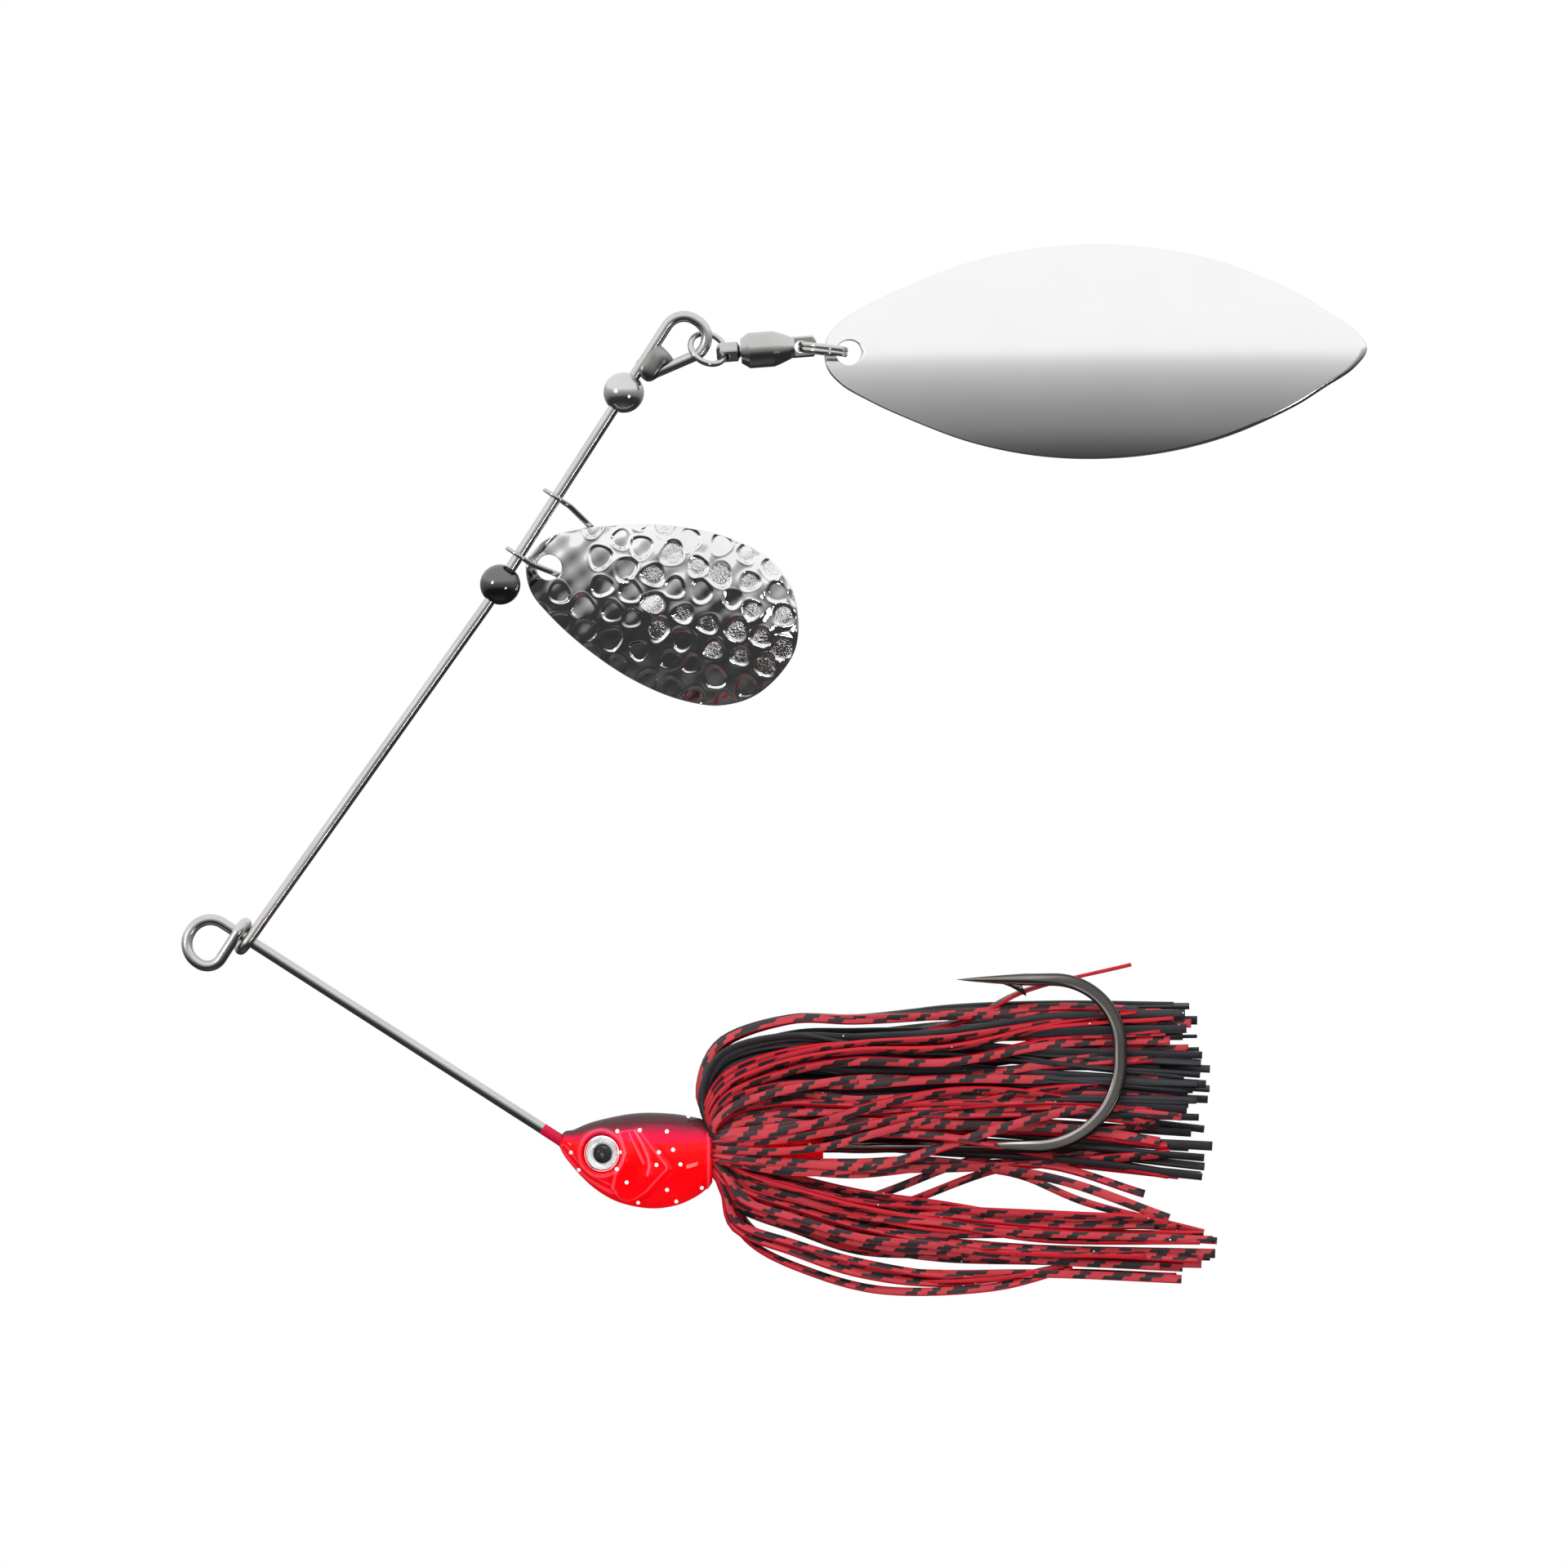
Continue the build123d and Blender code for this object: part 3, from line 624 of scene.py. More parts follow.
# ---- Head ----
# Lead cast over the wire and the hook, shaped like a minnow's head, with gill covers.
# Candy red over silver with a black back, silver flakes and a thick clear coat.
HEAD_TOP = 34.1
HEAD_BACK = 49.15
head_stations = [
    (34.1, -19.5, 0.32, 0.30), (34.5, -19.6, 1.0, 0.9), (35.5, -20.1, 1.83, 1.6), (36.9, -20.55, 2.88, 2.45),
    (38.9, -21.0, 3.88, 3.12), (41.8, -21.24, 4.6, 3.6), (44.4, -21.28, 4.64, 3.7),
    (46.8, -21.08, 4.15, 3.35), (48.5, -20.78, 3.35, 2.8), (49.15, -20.7, 2.75, 2.4),
]


def eased(values, places, where):
    """Smooth curve through values at places, read at where."""
    places, values = np.array(places), np.array(values)
    slopes = np.gradient(values, places)
    i = np.clip(np.searchsorted(places, where) - 1, 0, len(places) - 2)
    h = places[i + 1] - places[i]
    t = np.clip((where - places[i]) / h, 0, 1)
    a, b = values[i], values[i + 1]
    return (
        (2 * t**3 - 3 * t**2 + 1) * a + (t**3 - 2 * t**2 + t) * h * slopes[i]
        + (-2 * t**3 + 3 * t**2) * b + (t**3 - t**2) * h * slopes[i + 1]
    )


def near_line(x, z, line):
    """Distance from points to a line through corners."""
    best = np.full(x.shape, 1e9)
    for (x0, z0), (x1, z1) in zip(line, line[1:]):
        dx, dz = x1 - x0, z1 - z0
        t = np.clip(((x - x0) * dx + (z - z0) * dz) / (dx * dx + dz * dz), 0, 1)
        best = np.minimum(best, np.hypot(x - x0 - t * dx, z - z0 - t * dz))
    return best


depths = [s[0] for s in head_stations]
rows = np.concatenate([
    HEAD_TOP + (np.linspace(0, 1, 60, endpoint=False) ** 1.6) * 4.0,
    np.linspace(HEAD_TOP + 4.0, HEAD_BACK, 180),
])
around = 320
angles = np.linspace(0, 2 * math.pi, around, endpoint=False)
mid_x = eased([s[1] for s in head_stations], depths, rows)[:, None]
half_x = eased([s[2] for s in head_stations], depths, rows)[:, None]
half_y = eased([s[3] for s in head_stations], depths, rows)[:, None]
head_x = mid_x + half_x * np.cos(angles)[None]
head_y = half_y * np.sin(angles)[None]
head_z = -np.repeat(rows[:, None], around, 1)
normal_x = np.cos(angles)[None] / half_x
normal_y = np.sin(angles)[None] / half_y
size = np.hypot(normal_x, normal_y)
normal_x, normal_y = normal_x / size, normal_y / size


def inside(x, z, ring):
    """True where a point lies inside a closed ring of corners."""
    within = np.zeros(x.shape, bool)
    for (x0, z0), (x1, z1) in zip(ring, ring[1:] + ring[:1]):
        crossing = (z0 > z) != (z1 > z)
        within ^= crossing & (x < (x1 - x0) * (z - z0) / (z1 - z0 + 1e-12) + x0)
    return within


gill_plate = [
    (-18.5, -39.9), (-18.2, -42.0), (-19.9, -43.3), (-21.7, -44.8), (-22.1, -44.75), (-22.6, -44.2),
    (-24.2, -42.7), (-24.9, -41.6), (-25.1, -40.8), (-24.8, -40.0), (-24.0, -39.3), (-22.5, -39.6), (-20.5, -40.6),
]
cheek_ridge = [(-18.6, -41.6), (-19.8, -42.35), (-21.0, -42.9), (-21.8, -43.0), (-22.5, -42.8)]
inner_ridge = [(-18.8, -41.05), (-20.2, -41.8), (-21.5, -42.45)]
mouth = [(-20.05, -34.6), (-21.0, -35.3), (-22.0, -36.1), (-23.0, -37.3), (-23.7, -38.5), (-24.2, -39.4)]
EYE_X, EYE_Z = -20.54, -38.32
cheeks = np.clip((np.abs(np.sin(angles))[None] - 0.2) / 0.2, 0, 1)
edge_away = near_line(head_x, head_z, gill_plate + gill_plate[:1])
depth_in = np.where(inside(head_x, head_z, gill_plate), edge_away, -edge_away)
step = np.clip(depth_in / 0.3 + 0.5, 0, 1)
raised = 0.36 * step * step * (3 - 2 * step) * np.exp(-((np.clip(depth_in - 0.2, 0, None) / 1.1) ** 2))
raised -= 0.10 * np.exp(-(((depth_in + 0.38) / 0.25) ** 2))
raised += 0.34 * np.exp(-((near_line(head_x, head_z, cheek_ridge) / 0.22) ** 2))
raised += 0.24 * np.exp(-((near_line(head_x, head_z, inner_ridge) / 0.20) ** 2))
raised -= 0.22 * np.exp(-((near_line(head_x, head_z, mouth) / 0.2) ** 2))
from_eye = np.hypot(head_x - EYE_X, head_z - EYE_Z)
away_from_eye = np.clip((from_eye - 1.9) / 0.3, 0, 1)
raised = raised * away_from_eye + 0.20 * np.exp(-(((from_eye - 2.2) / 0.26) ** 2))
raised -= 0.55 * np.clip((1.95 - from_eye) / 0.25, 0, 1)
raised = raised * cheeks + 0.14 * np.exp(-(((rows - 48.8) / 0.2) ** 2))[:, None]
# paler crests along the ridges, gill edge, mouth, eye rim and rear rim: thinner candy paint there, and a painted
# highlight
thin_paint_and_highlight = 0.8 * np.exp(-((near_line(head_x, head_z, cheek_ridge) / 0.13) ** 2))
thin_paint_and_highlight += 0.6 * np.exp(-((near_line(head_x, head_z, inner_ridge) / 0.11) ** 2))
thin_paint_and_highlight += 0.65 * np.exp(-(((depth_in - 0.06) / 0.10) ** 2))
thin_paint_and_highlight += 0.4 * np.exp(-(((near_line(head_x, head_z, mouth) - 0.3) / 0.12) ** 2)) * (head_x < mid_x)
thin_paint_and_highlight = thin_paint_and_highlight * away_from_eye + 0.5 * np.exp(-(((from_eye - 2.2) / 0.12) ** 2))
thin_paint_and_highlight = np.clip(thin_paint_and_highlight, 0, 1) * cheeks + 0.5 * np.exp(-(((rows - 48.8) / 0.12) ** 2))[:, None]
head_x = head_x + normal_x * raised
head_y = head_y + normal_y * raised
head_verts = np.stack([head_x, head_y, head_z], 2).reshape(-1, 3)
head_faces = []
for i in range(len(rows) - 1):
    for j in range(around):
        k = (j + 1) % around
        head_faces.append((i * around + j, i * around + k, (i + 1) * around + k, (i + 1) * around + j))
head_faces.append(tuple(range(around))[::-1])
head_faces.append(tuple((len(rows) - 1) * around + j for j in range(around)))

candy_red, tree, lacquer, place = new_finish(
    "candy red lacquer", Roughness=0.4, Specular_IOR_Level=0.0, Coat_Weight=0.45, Coat_IOR=1.5, Coat_Roughness=0.03
)


def mixed(tree, factor, a, b):
    """Two colours mixed."""
    return add_node(tree, "ShaderNodeMix", data_type="RGBA", Factor=factor, A=a, B=b).outputs["Result"]


def flecks(tree, cells, size, least):
    """1 in the middle of some cells of a Voronoi pattern, and 0 elsewhere."""
    draw = add_node(tree, "ShaderNodeSeparateColor", Color=cells.outputs["Color"]).outputs["Red"]
    near = maths(tree, "LESS_THAN", cells.outputs["Distance"], size)
    return maths(tree, "MULTIPLY", near, maths(tree, "GREATER_THAN", draw, least))


apart = add_node(tree, "ShaderNodeSeparateXYZ", Vector=place).outputs
mist = noise(tree, place, 420.0, 4.0)
back = ramp(
    tree, maths(tree, "MULTIPLY_ADD", mist, 0.07, painted(tree, "crown")),
    (0.0, (0.84, 0.002, 0.006)), (0.71, (0.78, 0.000, 0.001)), (0.735, (0.60, 0.001, 0.030)),
    (0.82, (0.52, 0.001, 0.035)), (0.875, (0.30, 0.008, 0.030)), (0.93, (0.095, 0.014, 0.022)),
    (1.0, (0.040, 0.020, 0.022)),
)
# the crests are painted pale pink: thinner paint over the silver, and a painted highlight
crest_highlight = mixed(tree, painted(tree, "thin_paint_and_highlight"), back, (1.0, 0.10, 0.16, 1))
side_on = add_node(tree, "ShaderNodeCombineXYZ", X=apart["X"], Y=apart["Z"]).outputs["Vector"]
flakes = add_node(tree, "ShaderNodeTexVoronoi", voronoi_dimensions="2D", Vector=side_on, Scale=560.0)
paint = mixed(tree, flecks(tree, flakes, 0.105, 0.50), crest_highlight, (0.95, 0.95, 0.95, 1))
tree.links.new(paint, lacquer.inputs["Base Color"])
relief(tree, lacquer, mist, 0.12, 0.00003)

head = piece_from("head_casting", head_verts, head_faces, candy_red)
keep_mark(head, "crown", np.tile(0.5 + 0.5 * np.cos(angles), len(rows)))
keep_mark(head, "thin_paint_and_highlight", thin_paint_and_highlight)
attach(head, "wire_and_head")
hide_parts("head_casting")

# the lacquer runs a little way up the wire
drip_from = by_tie(-41.6, EYE_R)
drip_path = np.linspace(drip_from, by_tie(-36.9, EYE_R), 16)
drip_r = 0.56 + 0.05 * np.linspace(1, 0, 16) ** 2
drip_r[-1] = 0.5
drip_sections = round_section(16, 1.0, 24) * drip_r[:, None, None]
drip = piece_from("lacquer_on_wire", *swept_points(drip_path, drip_sections), candy_red)
keep_mark(drip, "crown", np.full(len(drip.data.vertices), 0.82))
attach(drip, "wire_and_head")

# ---- Trailer keeper ----
# The stem of the casting behind the skirt collar, with barbs that hold a soft trailer.
# It is cast with the head and has the same lacquer.
KEEPER_X = -20.2
keeper_outline = [(0.0, 0.1), (0.0, 1.9), (3.2, 1.9), (3.3, 1.45)]
for i in range(3):
    start = 4.6 + 2.0 * i
    keeper_outline += [(start, 1.38), (start + 1.0, 1.62), (start + 1.15, 1.62), (start + 1.3, 1.34)]
keeper_outline += [(10.7, 1.3), (11.0, 1.1), (11.0, 0.1)]
keeper = lathed("trailer_keeper", keeper_outline, np.array([KEEPER_X, 0, -49.0]), (0, 0, -1), candy_red, 48)
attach(keeper, "wire_and_head")

# ---- Eyes ----
# A stamped silver foil ring, a black pupil and a dome of clear resin in each socket.
# The foil is dished, so it shades from white to grey round the ring.
EYE_TILT = math.radians(15)
silver_foil = metal_finish("silver eye foil", (0.96, 0.96, 0.96), 0.35, 900.0, 0.2, metallic=0.15)


def clouded_finish(name, dark, light, scale, detail=2.0, **settings):
    """A plain finish whose colour wanders between two."""
    material, tree, shader, place = new_finish(name, **settings)
    tree.links.new(ramp(tree, noise(tree, place, scale, detail), (0.0, dark), (1.0, light)),
        shader.inputs["Base Color"])
    return material


pupil_black = clouded_finish(
    "black pupil ink", (0.004, 0.004, 0.005), (0.02, 0.02, 0.022), 700.0, Roughness=0.3, Specular_IOR_Level=0.1
)
clear_resin = new_finish(
    "clear eye resin", Base_Color=(1, 1, 1, 1), Roughness=0.02, IOR=1.3, Transmission_Weight=1.0
)[0]
for name, sign in (("left", -1), ("right", 1)):
    normal = np.array([0.0, sign * math.cos(EYE_TILT), math.sin(EYE_TILT)])
    seat = np.array([EYE_X, sign * 2.96, EYE_Z]) - normal * 0.5
    foil_outline = [(0.0, 0.93), (0.0, 1.72), (0.42, 1.76), (0.5, 1.7), (0.44, 1.6), (0.2, 1.2), (0.12, 0.93)]
    foil = lathed(f"eye_foil_{name}", foil_outline, seat, normal, silver_foil)
    pupil_outline = [(0.0, 0.001), (0.0, 0.93), (0.2, 0.93), (0.34, 0.8), (0.44, 0.5), (0.48, 0.25), (0.49, 0.001)]
    pupil = lathed(f"eye_pupil_{name}", pupil_outline, seat, normal, pupil_black)
    dome_outline = [(0.5, 1.7), (0.62, 1.5), (0.74, 1.1), (0.8, 0.6), (0.82, 0.001), (0.78, 0.001),
        (0.76, 0.6), (0.7, 1.1), (0.58, 1.5), (0.47, 1.66)]
    dome = lathed(f"eye_dome_{name}", dome_outline, seat, normal, clear_resin)
    for piece, node, finish_slot in (
        (foil, "eye_foil_", "eye_foil"), (pupil, "eye_pupil_", "eye_black"), (dome, "eye_dome_", "eye_clear"),
    ):
        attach(piece, "wire_and_head")
        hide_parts(node + name)

# ---- Hook ----
# A forged wide-gap hook in black nickel: round shank, bend pressed flat on both sides,
# ground point and a barb cut up from the inside.
SHANK_X = -19.92
HOOK_GAP = 16.36
BEND_Z = -89.1
TIP_Z = -73.12
hook_corners = [
    (SHANK_X, 0, -39.5), (SHANK_X, 0, BEND_Z), (SHANK_X + HOOK_GAP, 0, BEND_Z), (SHANK_X + HOOK_GAP, 0, TIP_Z),
]
hook_path = rounded_path(hook_corners, [0.51 * HOOK_GAP, 0.40 * HOOK_GAP], 0.25)
run = np.concatenate([[0], np.cumsum(np.linalg.norm(np.diff(hook_path, axis=0), axis=1))])
length = run[-1]
forged = np.clip((run - 36) / 6, 0, 1) * np.clip((length - 7 - run) / 5, 0, 1)
point = np.clip((length - run) / 6.6, 0.03, 1) ** 0.75
round_angle = np.linspace(0, 2 * math.pi, 72, endpoint=False)
c, s = np.cos(round_angle), np.sin(round_angle)
hook_sections = []
for press, taper in zip(forged, point):
    power = 1 - 0.55 * press
    wide = 0.6 * (1 + 0.10 * press) * taper
    flat = 0.6 * (1 - 0.22 * press) * taper
    hook_sections.append(np.stack([wide * np.sign(c) * np.abs(c) ** power,
        flat * np.sign(s) * np.abs(s) ** power], 1))
black_nickel = metal_finish("black nickel hook", (0.34, 0.31, 0.29), 0.15, 1500.0, 0.10, 0.4)
hook_tree = black_nickel.node_tree
hook_shader = hook_tree.nodes["Principled BSDF"]
# the plating colour is lightened to near white in a painted highlight line on the inner side of the bend, and
# darkened in painted shade along its outer side and inner edge
plated = hook_shader.inputs["Base Color"].links[0].from_socket
plated = mixed(hook_tree, painted(hook_tree, "bend_highlight"), plated, (1.0, 0.97, 0.93, 1))
plated = mixed(hook_tree, painted(hook_tree, "bend_edge_shade"), plated, (0.05, 0.045, 0.045, 1))
hook_tree.links.new(plated, hook_shader.inputs["Base Color"])
hook_verts, hook_faces = swept_points(hook_path, np.array(hook_sections))
base = len(hook_verts)
barb_x = SHANK_X + HOOK_GAP
barb_rows = [(-77.6, -0.44, 0.0, 0.34), (-78.4, -0.75, 0.0, 0.24), (-79.2, -1.2, -0.15, 0.12),
    (-79.85, -1.62, -1.45, 0.03)]
barb_verts = []
for z, outer, inner, half in barb_rows:
    barb_verts += [(barb_x + outer, -half, z), (barb_x + outer, half, z), (barb_x + inner, half, z - 0.05),
        (barb_x + inner, -half, z - 0.05)]
hook_verts = np.concatenate([hook_verts, np.array(barb_verts)])
for i in range(len(barb_rows) - 1):
    for j in range(4):
        k = (j + 1) % 4
        a = base + i * 4
        hook_faces.append((a + j, a + k, a + 4 + k, a + 4 + j))
hook_faces.append((base + 3, base + 2, base + 1, base))
hook_faces.append(tuple(base + 4 * (len(barb_rows) - 1) + j for j in range(4)))
hook = piece_from("hook", hook_verts, hook_faces, black_nickel)
gap_middle = np.array([SHANK_X + HOOK_GAP / 2, 0.0, -82.0])
inward = gap_middle - hook_path
hook_run = carried_frames(hook_path)[0]
inward -= (inward * hook_run).sum(1)[:, None] * hook_run
inward /= np.linalg.norm(inward, axis=1)[:, None]
offsets = hook_verts[:base].reshape(len(hook_path), 72, 3) - hook_path[:, None]
towards = (offsets * inward[:, None]).sum(2) / (0.6 * point[:, None])
# painted highlight along the inner face of the bend, and painted shade on its outer side and inner edge
strength = np.clip((run - 26) / 8, 0, 1)[:, None]
bend_highlight = strength * np.clip(1.6 - np.abs(towards - 0.6) / 0.12, 0, 1) * (0.85 + 0.15 * np.sin(run * 1.3))[:, None]
bend_edge_shade = 0.9 * strength * np.clip((-towards - 0.45) / 0.3, 0,
    1) + strength * np.clip((towards - 0.92) / 0.1, 0, 1)
for mark_name, values in (("bend_highlight", bend_highlight), ("bend_edge_shade", np.clip(bend_edge_shade, 0, 1))):
    keep_mark(hook, mark_name, np.concatenate([values.ravel(), np.zeros(len(hook_verts) - base)]))
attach(hook, "wire_and_head")
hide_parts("hook")

# ---- Skirt collar ----
# A short black rubber sleeve stretched over the strands on the casting's neck.
collar_rubber = clouded_finish(
    "black collar rubber", (0.012, 0.012, 0.013), (0.035, 0.033, 0.033), 600.0, 5.0, Roughness=0.6
)
nodes["skirt_collar"].data.materials.clear()
nodes["skirt_collar"].data.materials.append(collar_rubber)

# ---- Skirt strands ----
# Flat silicone strands cut from printed sheet: red with black bars on the faces and plain
# red on the cut edges, and a hank of plain black. All spring from under the collar.
STRAND_W = 0.84
STRAND_T = 0.36


def strand_finish(name, face, bar, edge, barred):
    """Silicone: printed bars across the faces, plain clear colour on the cut edges."""
    material, tree, shader, place = new_finish(name, Roughness=0.38, Specular_IOR_Level=0.4)
    uv = add_node(tree, "ShaderNodeUVMap").outputs["UV"]
    along, across, _ = add_node(tree, "ShaderNodeSeparateXYZ", Vector=uv).outputs
    cloud = noise(tree, place, 260.0, 3.0)
    colour = mixed(tree, cloud, (*[c * 0.72 for c in face], 1), (*[min(1, c * 1.15) for c in face], 1))
    if barred:
        # each strand has two printed rows, out of step, with bars cut at a slant
        row = maths(tree, "GREATER_THAN", across, 0.5)
        stepped = maths(tree, "MULTIPLY_ADD", row, 0.17, along)
        slant = maths(tree, "MULTIPLY_ADD", across, 0.13, stepped)
        cells = add_node(tree, "ShaderNodeTexNoise", noise_dimensions="1D", W=along, Scale=0.7, Detail=0.5)
        wander = maths(tree, "MULTIPLY_ADD", cells.outputs["Fac"], 1.0, slant)
        dark = maths(tree, "LESS_THAN", maths(tree, "FRACT", wander), 0.46)
        colour = mixed(tree, dark, colour, (*bar, 1))
    sides = mixed(tree, painted(tree, "cut_edge"), colour, (*edge, 1))
    specks = add_node(tree, "ShaderNodeTexVoronoi", Vector=place, Scale=900.0)
    final = mixed(tree, flecks(tree, specks, 0.07, 0.8), sides, (0.75, 0.75, 0.78, 1))
    tree.links.new(final, shader.inputs["Base Color"])
    relief(tree, shader, cloud, 0.2, 0.00004)
    return material


def through(points, count):
    """Smooth open curve through a few points, evenly spaced."""
    points = np.array(points, float)
    padded = np.concatenate([[2 * points[0] - points[1]], points, [2 * points[-1] - points[-2]]])
    curve = []
    for p0, p1, p2, p3 in zip(padded, padded[1:], padded[2:], padded[3:]):
        for t in np.linspace(0, 1, 24, endpoint=False):
            curve.append(
                0.5 * (2 * p1 + (p2 - p0) * t + (2 * p0 - 5 * p1 + 4 * p2 - p3) * t * t + (3 * p1 - p0 - 3 * p2 + p3) * t**3)
            )
    curve = np.array(curve + [points[-1]])
    lengths = np.concatenate([[0], np.cumsum(np.linalg.norm(np.diff(curve, axis=0), axis=1))])
    even = np.linspace(0, lengths[-1], count)
    return np.stack([np.interp(even, lengths, curve[:, i]) for i in range(3)], 1), lengths[-1]


def hank_of(name, routes, material, seed):
    """Strands along their routes as one piece, with lengthwise and crosswise UVs."""
    draw = random.Random(seed)
    verts, faces, uvs, edges = [], [], [], []
    half_w, half_t = STRAND_W / 2, STRAND_T / 2
    for route, lean in routes:
        path, long = through(route, 64)
        tangents = np.gradient(path, axis=0)
        tangents = tangents / np.linalg.norm(tangents, axis=1)[:, None]
        towards = np.array([0.0, -1.0, 0.0])
        width_dir = np.cross(tangents, towards)
        width_dir = width_dir / np.linalg.norm(width_dir, axis=1)[:, None]
        face_dir = np.cross(width_dir, tangents)
        twist = (
            lean + draw.uniform(-0.9, 0.9) * np.linspace(0, 1, 64)
            + 0.25 * np.sin(np.linspace(0, draw.uniform(3, 8), 64) + draw.uniform(0, 6))
        )
        w = np.cos(twist)[:, None] * width_dir + np.sin(twist)[:, None] * face_dir
        f = np.cross(w, tangents)
        size = draw.uniform(0.8, 1.12)
        start = len(verts)
        offset = draw.uniform(0, 30)
        pitch = draw.uniform(3.0, 4.2)
        corners = [(-0.92, 1), (0.92, 1), (1, 0.8), (1, -0.8), (0.92, -1), (-0.92, -1), (-1, -0.8), (-1, 0.8)]
        for i in range(64):
            for a, b in corners:
                verts.append(path[i] + w[i] * a * half_w * size + f[i] * b * half_t)
        for i in range(63):
            for j in range(8):
                k = (j + 1) % 8
                faces.append((start + i * 8 + j, start + (i + 1) * 8 + j, start + (i + 1) * 8 + k,
                    start + i * 8 + k))
                u0, u1 = offset + long * i / 63 / pitch, offset + long * (i + 1) / 63 / pitch
                v0, v1 = (corners[j][0] + 1) / 2, (corners[k][0] + 1) / 2
                uvs += [(u0, v0), (u1, v0), (u1, v1), (u0, v1)]
                edges.append(0.0 if j in (0, 4) else 1.0)
        for cap in (tuple(start + j for j in range(8)), tuple(start + 63 * 8 + j for j in range(8))[::-1]):
            faces.append(cap)
            uvs += [(offset, 0.5)] * 8
            edges.append(1.0)
    mesh = bpy.data.meshes.new(name)
    mesh.from_pydata((np.array(verts) * MM).tolist(), [], faces)
    layer = mesh.uv_layers.new(name="along")
    layer.data.foreach_set("uv", np.array(uvs, dtype=np.float32).ravel())
    mark = mesh.attributes.new("cut_edge", "FLOAT", "FACE")
    mark.data.foreach_set("value", edges)
    mesh.shade_smooth()
    mesh.materials.append(material)
    piece = bpy.data.objects.new(name, mesh)
    bpy.context.scene.collection.objects.link(piece)
    return piece


barred_red = strand_finish("barred red silicone", (0.37, 0.026, 0.036), (0.018, 0.014, 0.016),
    (0.36, 0.003, 0.012), True)
plain_black = strand_finish("black silicone", (0.020, 0.020, 0.024), (0, 0, 0), (0.012, 0.012, 0.015), False)


def between(a, b, share):
    """Part way from one value to another."""
    return a + (b - a) * share


def upper_routes(seed, layout):
    """Strands that spring forward and over from the collar and lie back along the hook."""
    draw = random.Random(seed)
    made = []
    for count, lowest, highest, sides, mids, ends, stops, rise in layout:
        for i in range(count):
            f = between(lowest, highest, (i + draw.uniform(0.1, 0.9)) / count)
            side = draw.uniform(*sides)
            y_mid = draw.uniform(*mids)
            y_end = draw.uniform(*ends)
            if f < 0.2:
                y_mid = max(y_mid, 1.1)
            last = f if f > 0.95 else min(0.97, max(0.0, rise * f + draw.gauss(0, 0.14)))
            out = 3.35 * side * (1 - 0.45 * f)
            sway = [draw.uniform(-0.35, 0.35) for _ in range(4)]
            made.append((
                [
                    (-20.1 + 2.2 * math.sqrt(1 - side * side), 2.2 * side, -49.2),
                    (between(-20.3, -14.3, f), out, between(-50.5, -47.9, f)),
                    (between(-20.3, -9.7, f), out, between(-52.8, -50.1, f)),
                    (between(-20.4, -7.4, between(f, last, 0.15)) + 0.4 * sway[0], out * 0.95, -56.8 + sway[3]),
                    (between(-20.7, -7.4, between(f, last, 0.4)) + sway[0], between(out * 0.8, y_mid, 0.45),
                    -63.5),
                    (between(-21.0, -6.8, between(f, last, 0.45)) + sway[1], y_mid, -72.5),
                    (between(-21.6, -6.5, between(f, last, 0.8)) + sway[2], y_end, -83.0),
                    (between(-22.9, -6.4, last), y_end + draw.uniform(-0.3, 0.3), -draw.uniform(*stops)),
                ],
                draw.choice([0.0, 0.3, -0.35, 0.5, -0.6, 0.85, -0.95, 1.2]),
            ))
    return made


barred_layout = [
    (13, 0.18, 0.74, (-0.95, -0.4), (-2.0, 0.3), (1.2, 1.8), (88.5, 95.5), 1.25),
    (8, 0.05, 0.86, (-0.35, 0.3), (0.9, 1.6), (1.4, 2.4), (91.5, 96.5), 1.1),
    (2, 0.97, 1.0, (-0.25, 0.1), (0.2, 0.8), (1.3, 2.0), (88.0, 94.0), 1.0),
]
black_layout = [
    (24, -0.02, 0.90, (0.2, 0.95), (2.0, 3.8), (2.4, 4.6), (94.5, 98.2), 1.0),
    (13, 0.05, 0.85, (-0.45, 0.1), (0.5, 1.3), (1.2, 1.7), (95.0, 98.0), 1.0),
    (6, 0.78, 0.92, (-0.85, -0.3), (0.6, 1.2), (1.3, 2.0), (93.0, 97.6), 0.9),
    (2, 1.0, 1.03, (0.15, 0.4), (1.2, 1.8), (2.0, 3.0), (94.0, 96.5), 1.0),
]
